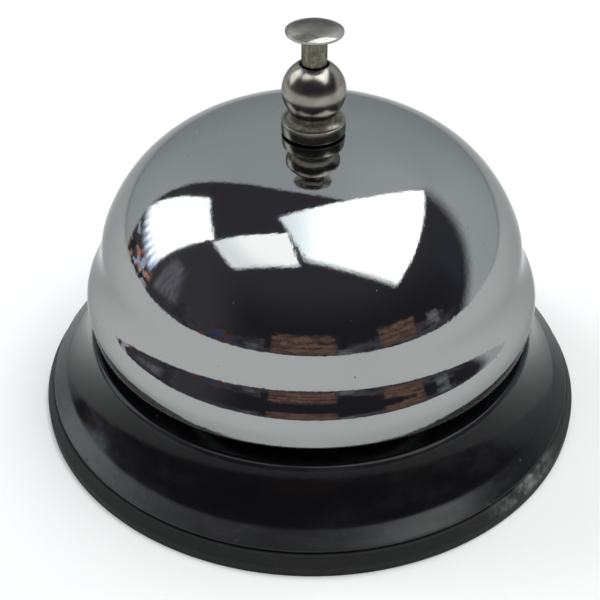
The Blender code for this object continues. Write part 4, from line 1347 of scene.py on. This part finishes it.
def clutter(way, colour):
    """Low clutter in front: dark cells of uneven height, boxes, and bright bits at the left."""
    _, y, z = split(way)
    azimuth = azimuth_of(way)
    _, height, _ = cells(join(azimuth * 6.0, 0.0))
    pick, tone, accent = cells(join(azimuth * 11.0, z * 26.0), distance="MANHATTAN")
    coloured = rise(azimuth, -1.15, -1.05) * fall(azimuth, -0.60, -0.50)
    dark = blend(tone, (0.040, 0.038, 0.050), (0.125, 0.118, 0.140))
    dark = blend(rise(accent, 0.80, 0.84) * coloured, dark, (0.06, 0.085, 0.19))
    dark = blend(fall(accent, 0.10, 0.14) * coloured, dark, (0.20, 0.060, 0.045))
    low_band = fall(z - height.calc("MULTIPLY_ADD", 0.14, 0.07), -0.02, 0.02)
    colour = blend(low_band * rise(y, -0.10, -0.40), colour, dark)

    brown = blend(tone, (0.32, 0.190, 0.145), (0.13, 0.080, 0.066))
    grey = blend(tone, (0.14, 0.135, 0.15), (0.30, 0.30, 0.32))
    wave = noise(join(azimuth * 9.0, z * 12.0), 1.0)
    slats = rise((z * 95.0 + wave * 9.0).calc("SINE"), -0.98, -0.60)
    for left, right, bottom, top, shade in ((-19, 12, 2, 16, brown), (13, 20, 1, 6, grey),
                                            (-31, -26, 1, 7, grey), (34, 53, 2, 15, brown),
                                            (60, 66, 3, 12, grey)):
        box = facing(way, (0.012,) * 4, (left, bottom), (right, bottom), (right, top), (left, top))
        colour = blend(box * slats, colour, shade)

    far_left = facing(way, (0.01, 0.02, 0.03, 0.02), (-121, -1), (-92, -1), (-92, 8), (-121, 11))
    bits = blend(rise(accent, 0.45, 0.50), (0.75, 0.85, 1.15), (0.85, 0.42, 0.28))
    colour = blend(far_left * 0.8, colour, dark)
    return blend(far_left * rise(pick, 0.55, 0.60), colour, bits)


def cabinet_and_wall(way, colour):
    """Folded grey cabinet at the left, and a dim blue wall at the right."""
    _, _, z = split(way)
    folds = rise(noise(join(azimuth_of(way) * 40.0, z * 6.0), 1.0, 3.0), 0.25, 0.60)
    cabinet = facing(way, (0.03, 0.05, 0.05, 0.02), (-88, 5), (-72, 7), (-78, 27), (-88, 27))
    colour = blend(cabinet * folds, colour, (0.30, 0.28, 0.33))
    wall = facing(way, (0.08,) * 4, (84, 12), (98, 18), (108, 36), (86, 36))
    return blend(wall, colour, (0.052, 0.060, 0.080))


def backdrop(way, colour):
    """Pale backdrop behind the bell, a little brighter at its sides and upper right."""
    x, _, z = split(way)
    left_edge = side_of(way, (0.40, 0.82, -0.42), -0.01, 0.02)
    right_edge = higher(side_of(way, (0.097, 0.738, -0.667), -0.08, 0.09),
                        side_of(way, (-0.682, 0.731, 0.0), -0.05, 0.10))
    bright = higher(rise(x * x, 0.08, 0.50), rise(z, 0.50, 0.72) * rise(x, -0.05, 0.30))
    pale = blend(bright, (0.66, 0.70, 0.725), (0.76, 0.795, 0.82))
    return blend(left_edge * right_edge, colour, pale)


def softboxes(way, colour):
    """One at the left with blue slats along its foot, and a small and a large one overhead."""
    x, _, z = split(way)
    left_box = facing(way, (0.012, 0.006, 0.06, 0.012), (-130, 48), (-90, 51), (-94, 9), (-124, 16))
    slats = rise((azimuth_of(way) * 90.0).calc("SINE"), -0.4, 0.4) * fall(z, 0.20, 0.36)
    colour = blend(left_box, colour, blend(slats, (3.1, 3.15, 3.2), (0.85, 1.20, 2.0)))

    small_box = above(way, (0.010, 0.012, 0.035, 0.02),
                      (-0.85, -0.03), (-0.15, 0.0), (-0.10, -0.45), (-0.78, -0.48))
    small_light = blend(rise(z, 0.80, 0.92), (1.95, 1.98, 2.05), (2.6, 2.62, 2.6))
    colour = blend(small_box, colour, small_light)

    large_box = above(way, (0.012, 0.012, 0.015, 0.06, 0.02),
                      (-0.19, 0.20), (0.77, 0.80), (0.95, -0.02), (1.07, -0.76), (-0.05, -0.36))
    large_light = blend(rise(x, -0.2, 0.2), (1.9, 2.05, 2.2), (3.6, 3.65, 3.6))
    return blend(large_box, colour, large_light)


def make_room():
    """The studio that lights the bell and that its chrome mirrors."""
    world = bpy.data.worlds.new("studio")
    bpy.context.scene.world = world
    world.use_nodes = True
    tree = world.node_tree
    way = coordinates(tree, "Generated")
    colour = ceiling(way)
    for add_to in (clutter, cabinet_and_wall, backdrop, softboxes):
        colour = add_to(way, colour)
    # Seen straight on, the far wall is as pale as the floor
    seen = Value(tree.nodes.new("ShaderNodeLightPath"), "Is Camera Ray")
    put(tree, tree.nodes["Background"].inputs["Color"], blend(seen, colour, (0.80, 0.81, 0.82)))


def make_floor():
    """Plain pale floor that falls off a little in the distance."""
    mesh = bpy.data.meshes.new("floor")
    with_bmesh(mesh, lambda work: bmesh.ops.create_grid(work, x_segments=24, y_segments=24, size=3.0))
    item = link("floor", mesh)
    material, place = new_material("floor_paint")
    _, y, _ = split(place)
    colour = blend(noise(place, 6.0, 3.0), (0.87, 0.875, 0.87), (0.90, 0.90, 0.895))
    colour = blend(rise(y, 0.13, 0.75), colour, (0.52, 0.545, 0.56))
    mesh.materials.append(surface(material, Base_Color=colour, Roughness=0.9, Specular_IOR_Level=0.1))


def make_camera():
    """Looks down at the bell from in front, close enough for strong perspective."""
    data = bpy.data.cameras.new("camera")
    data.sensor_width = 36.0
    data.lens = CAMERA_LENS
    data.shift_x = CAMERA_SHIFT_X
    data.clip_start = 0.01
    data.clip_end = 20.0
    camera = link("camera", data)
    camera.matrix_world = (Matrix.Translation(CAMERA_PLACE)
                           @ Matrix.Rotation(radians(CAMERA_PITCH_DEG), 4, "X")
                           @ Matrix.Rotation(radians(CAMERA_ROLL_DEG), 4, "Z"))
    bpy.context.scene.camera = camera


for make in (make_foot, make_base, make_frame, make_rivets, make_sleeve, make_nut_and_washers,
             make_gong, make_finial, make_button, make_rod, make_rod_clip, make_spring, make_lever,
             make_hammer, make_hammer_pin, make_pivot, make_room, make_floor, make_camera):
    make()

bpy.context.scene.view_settings.view_transform = "Standard"
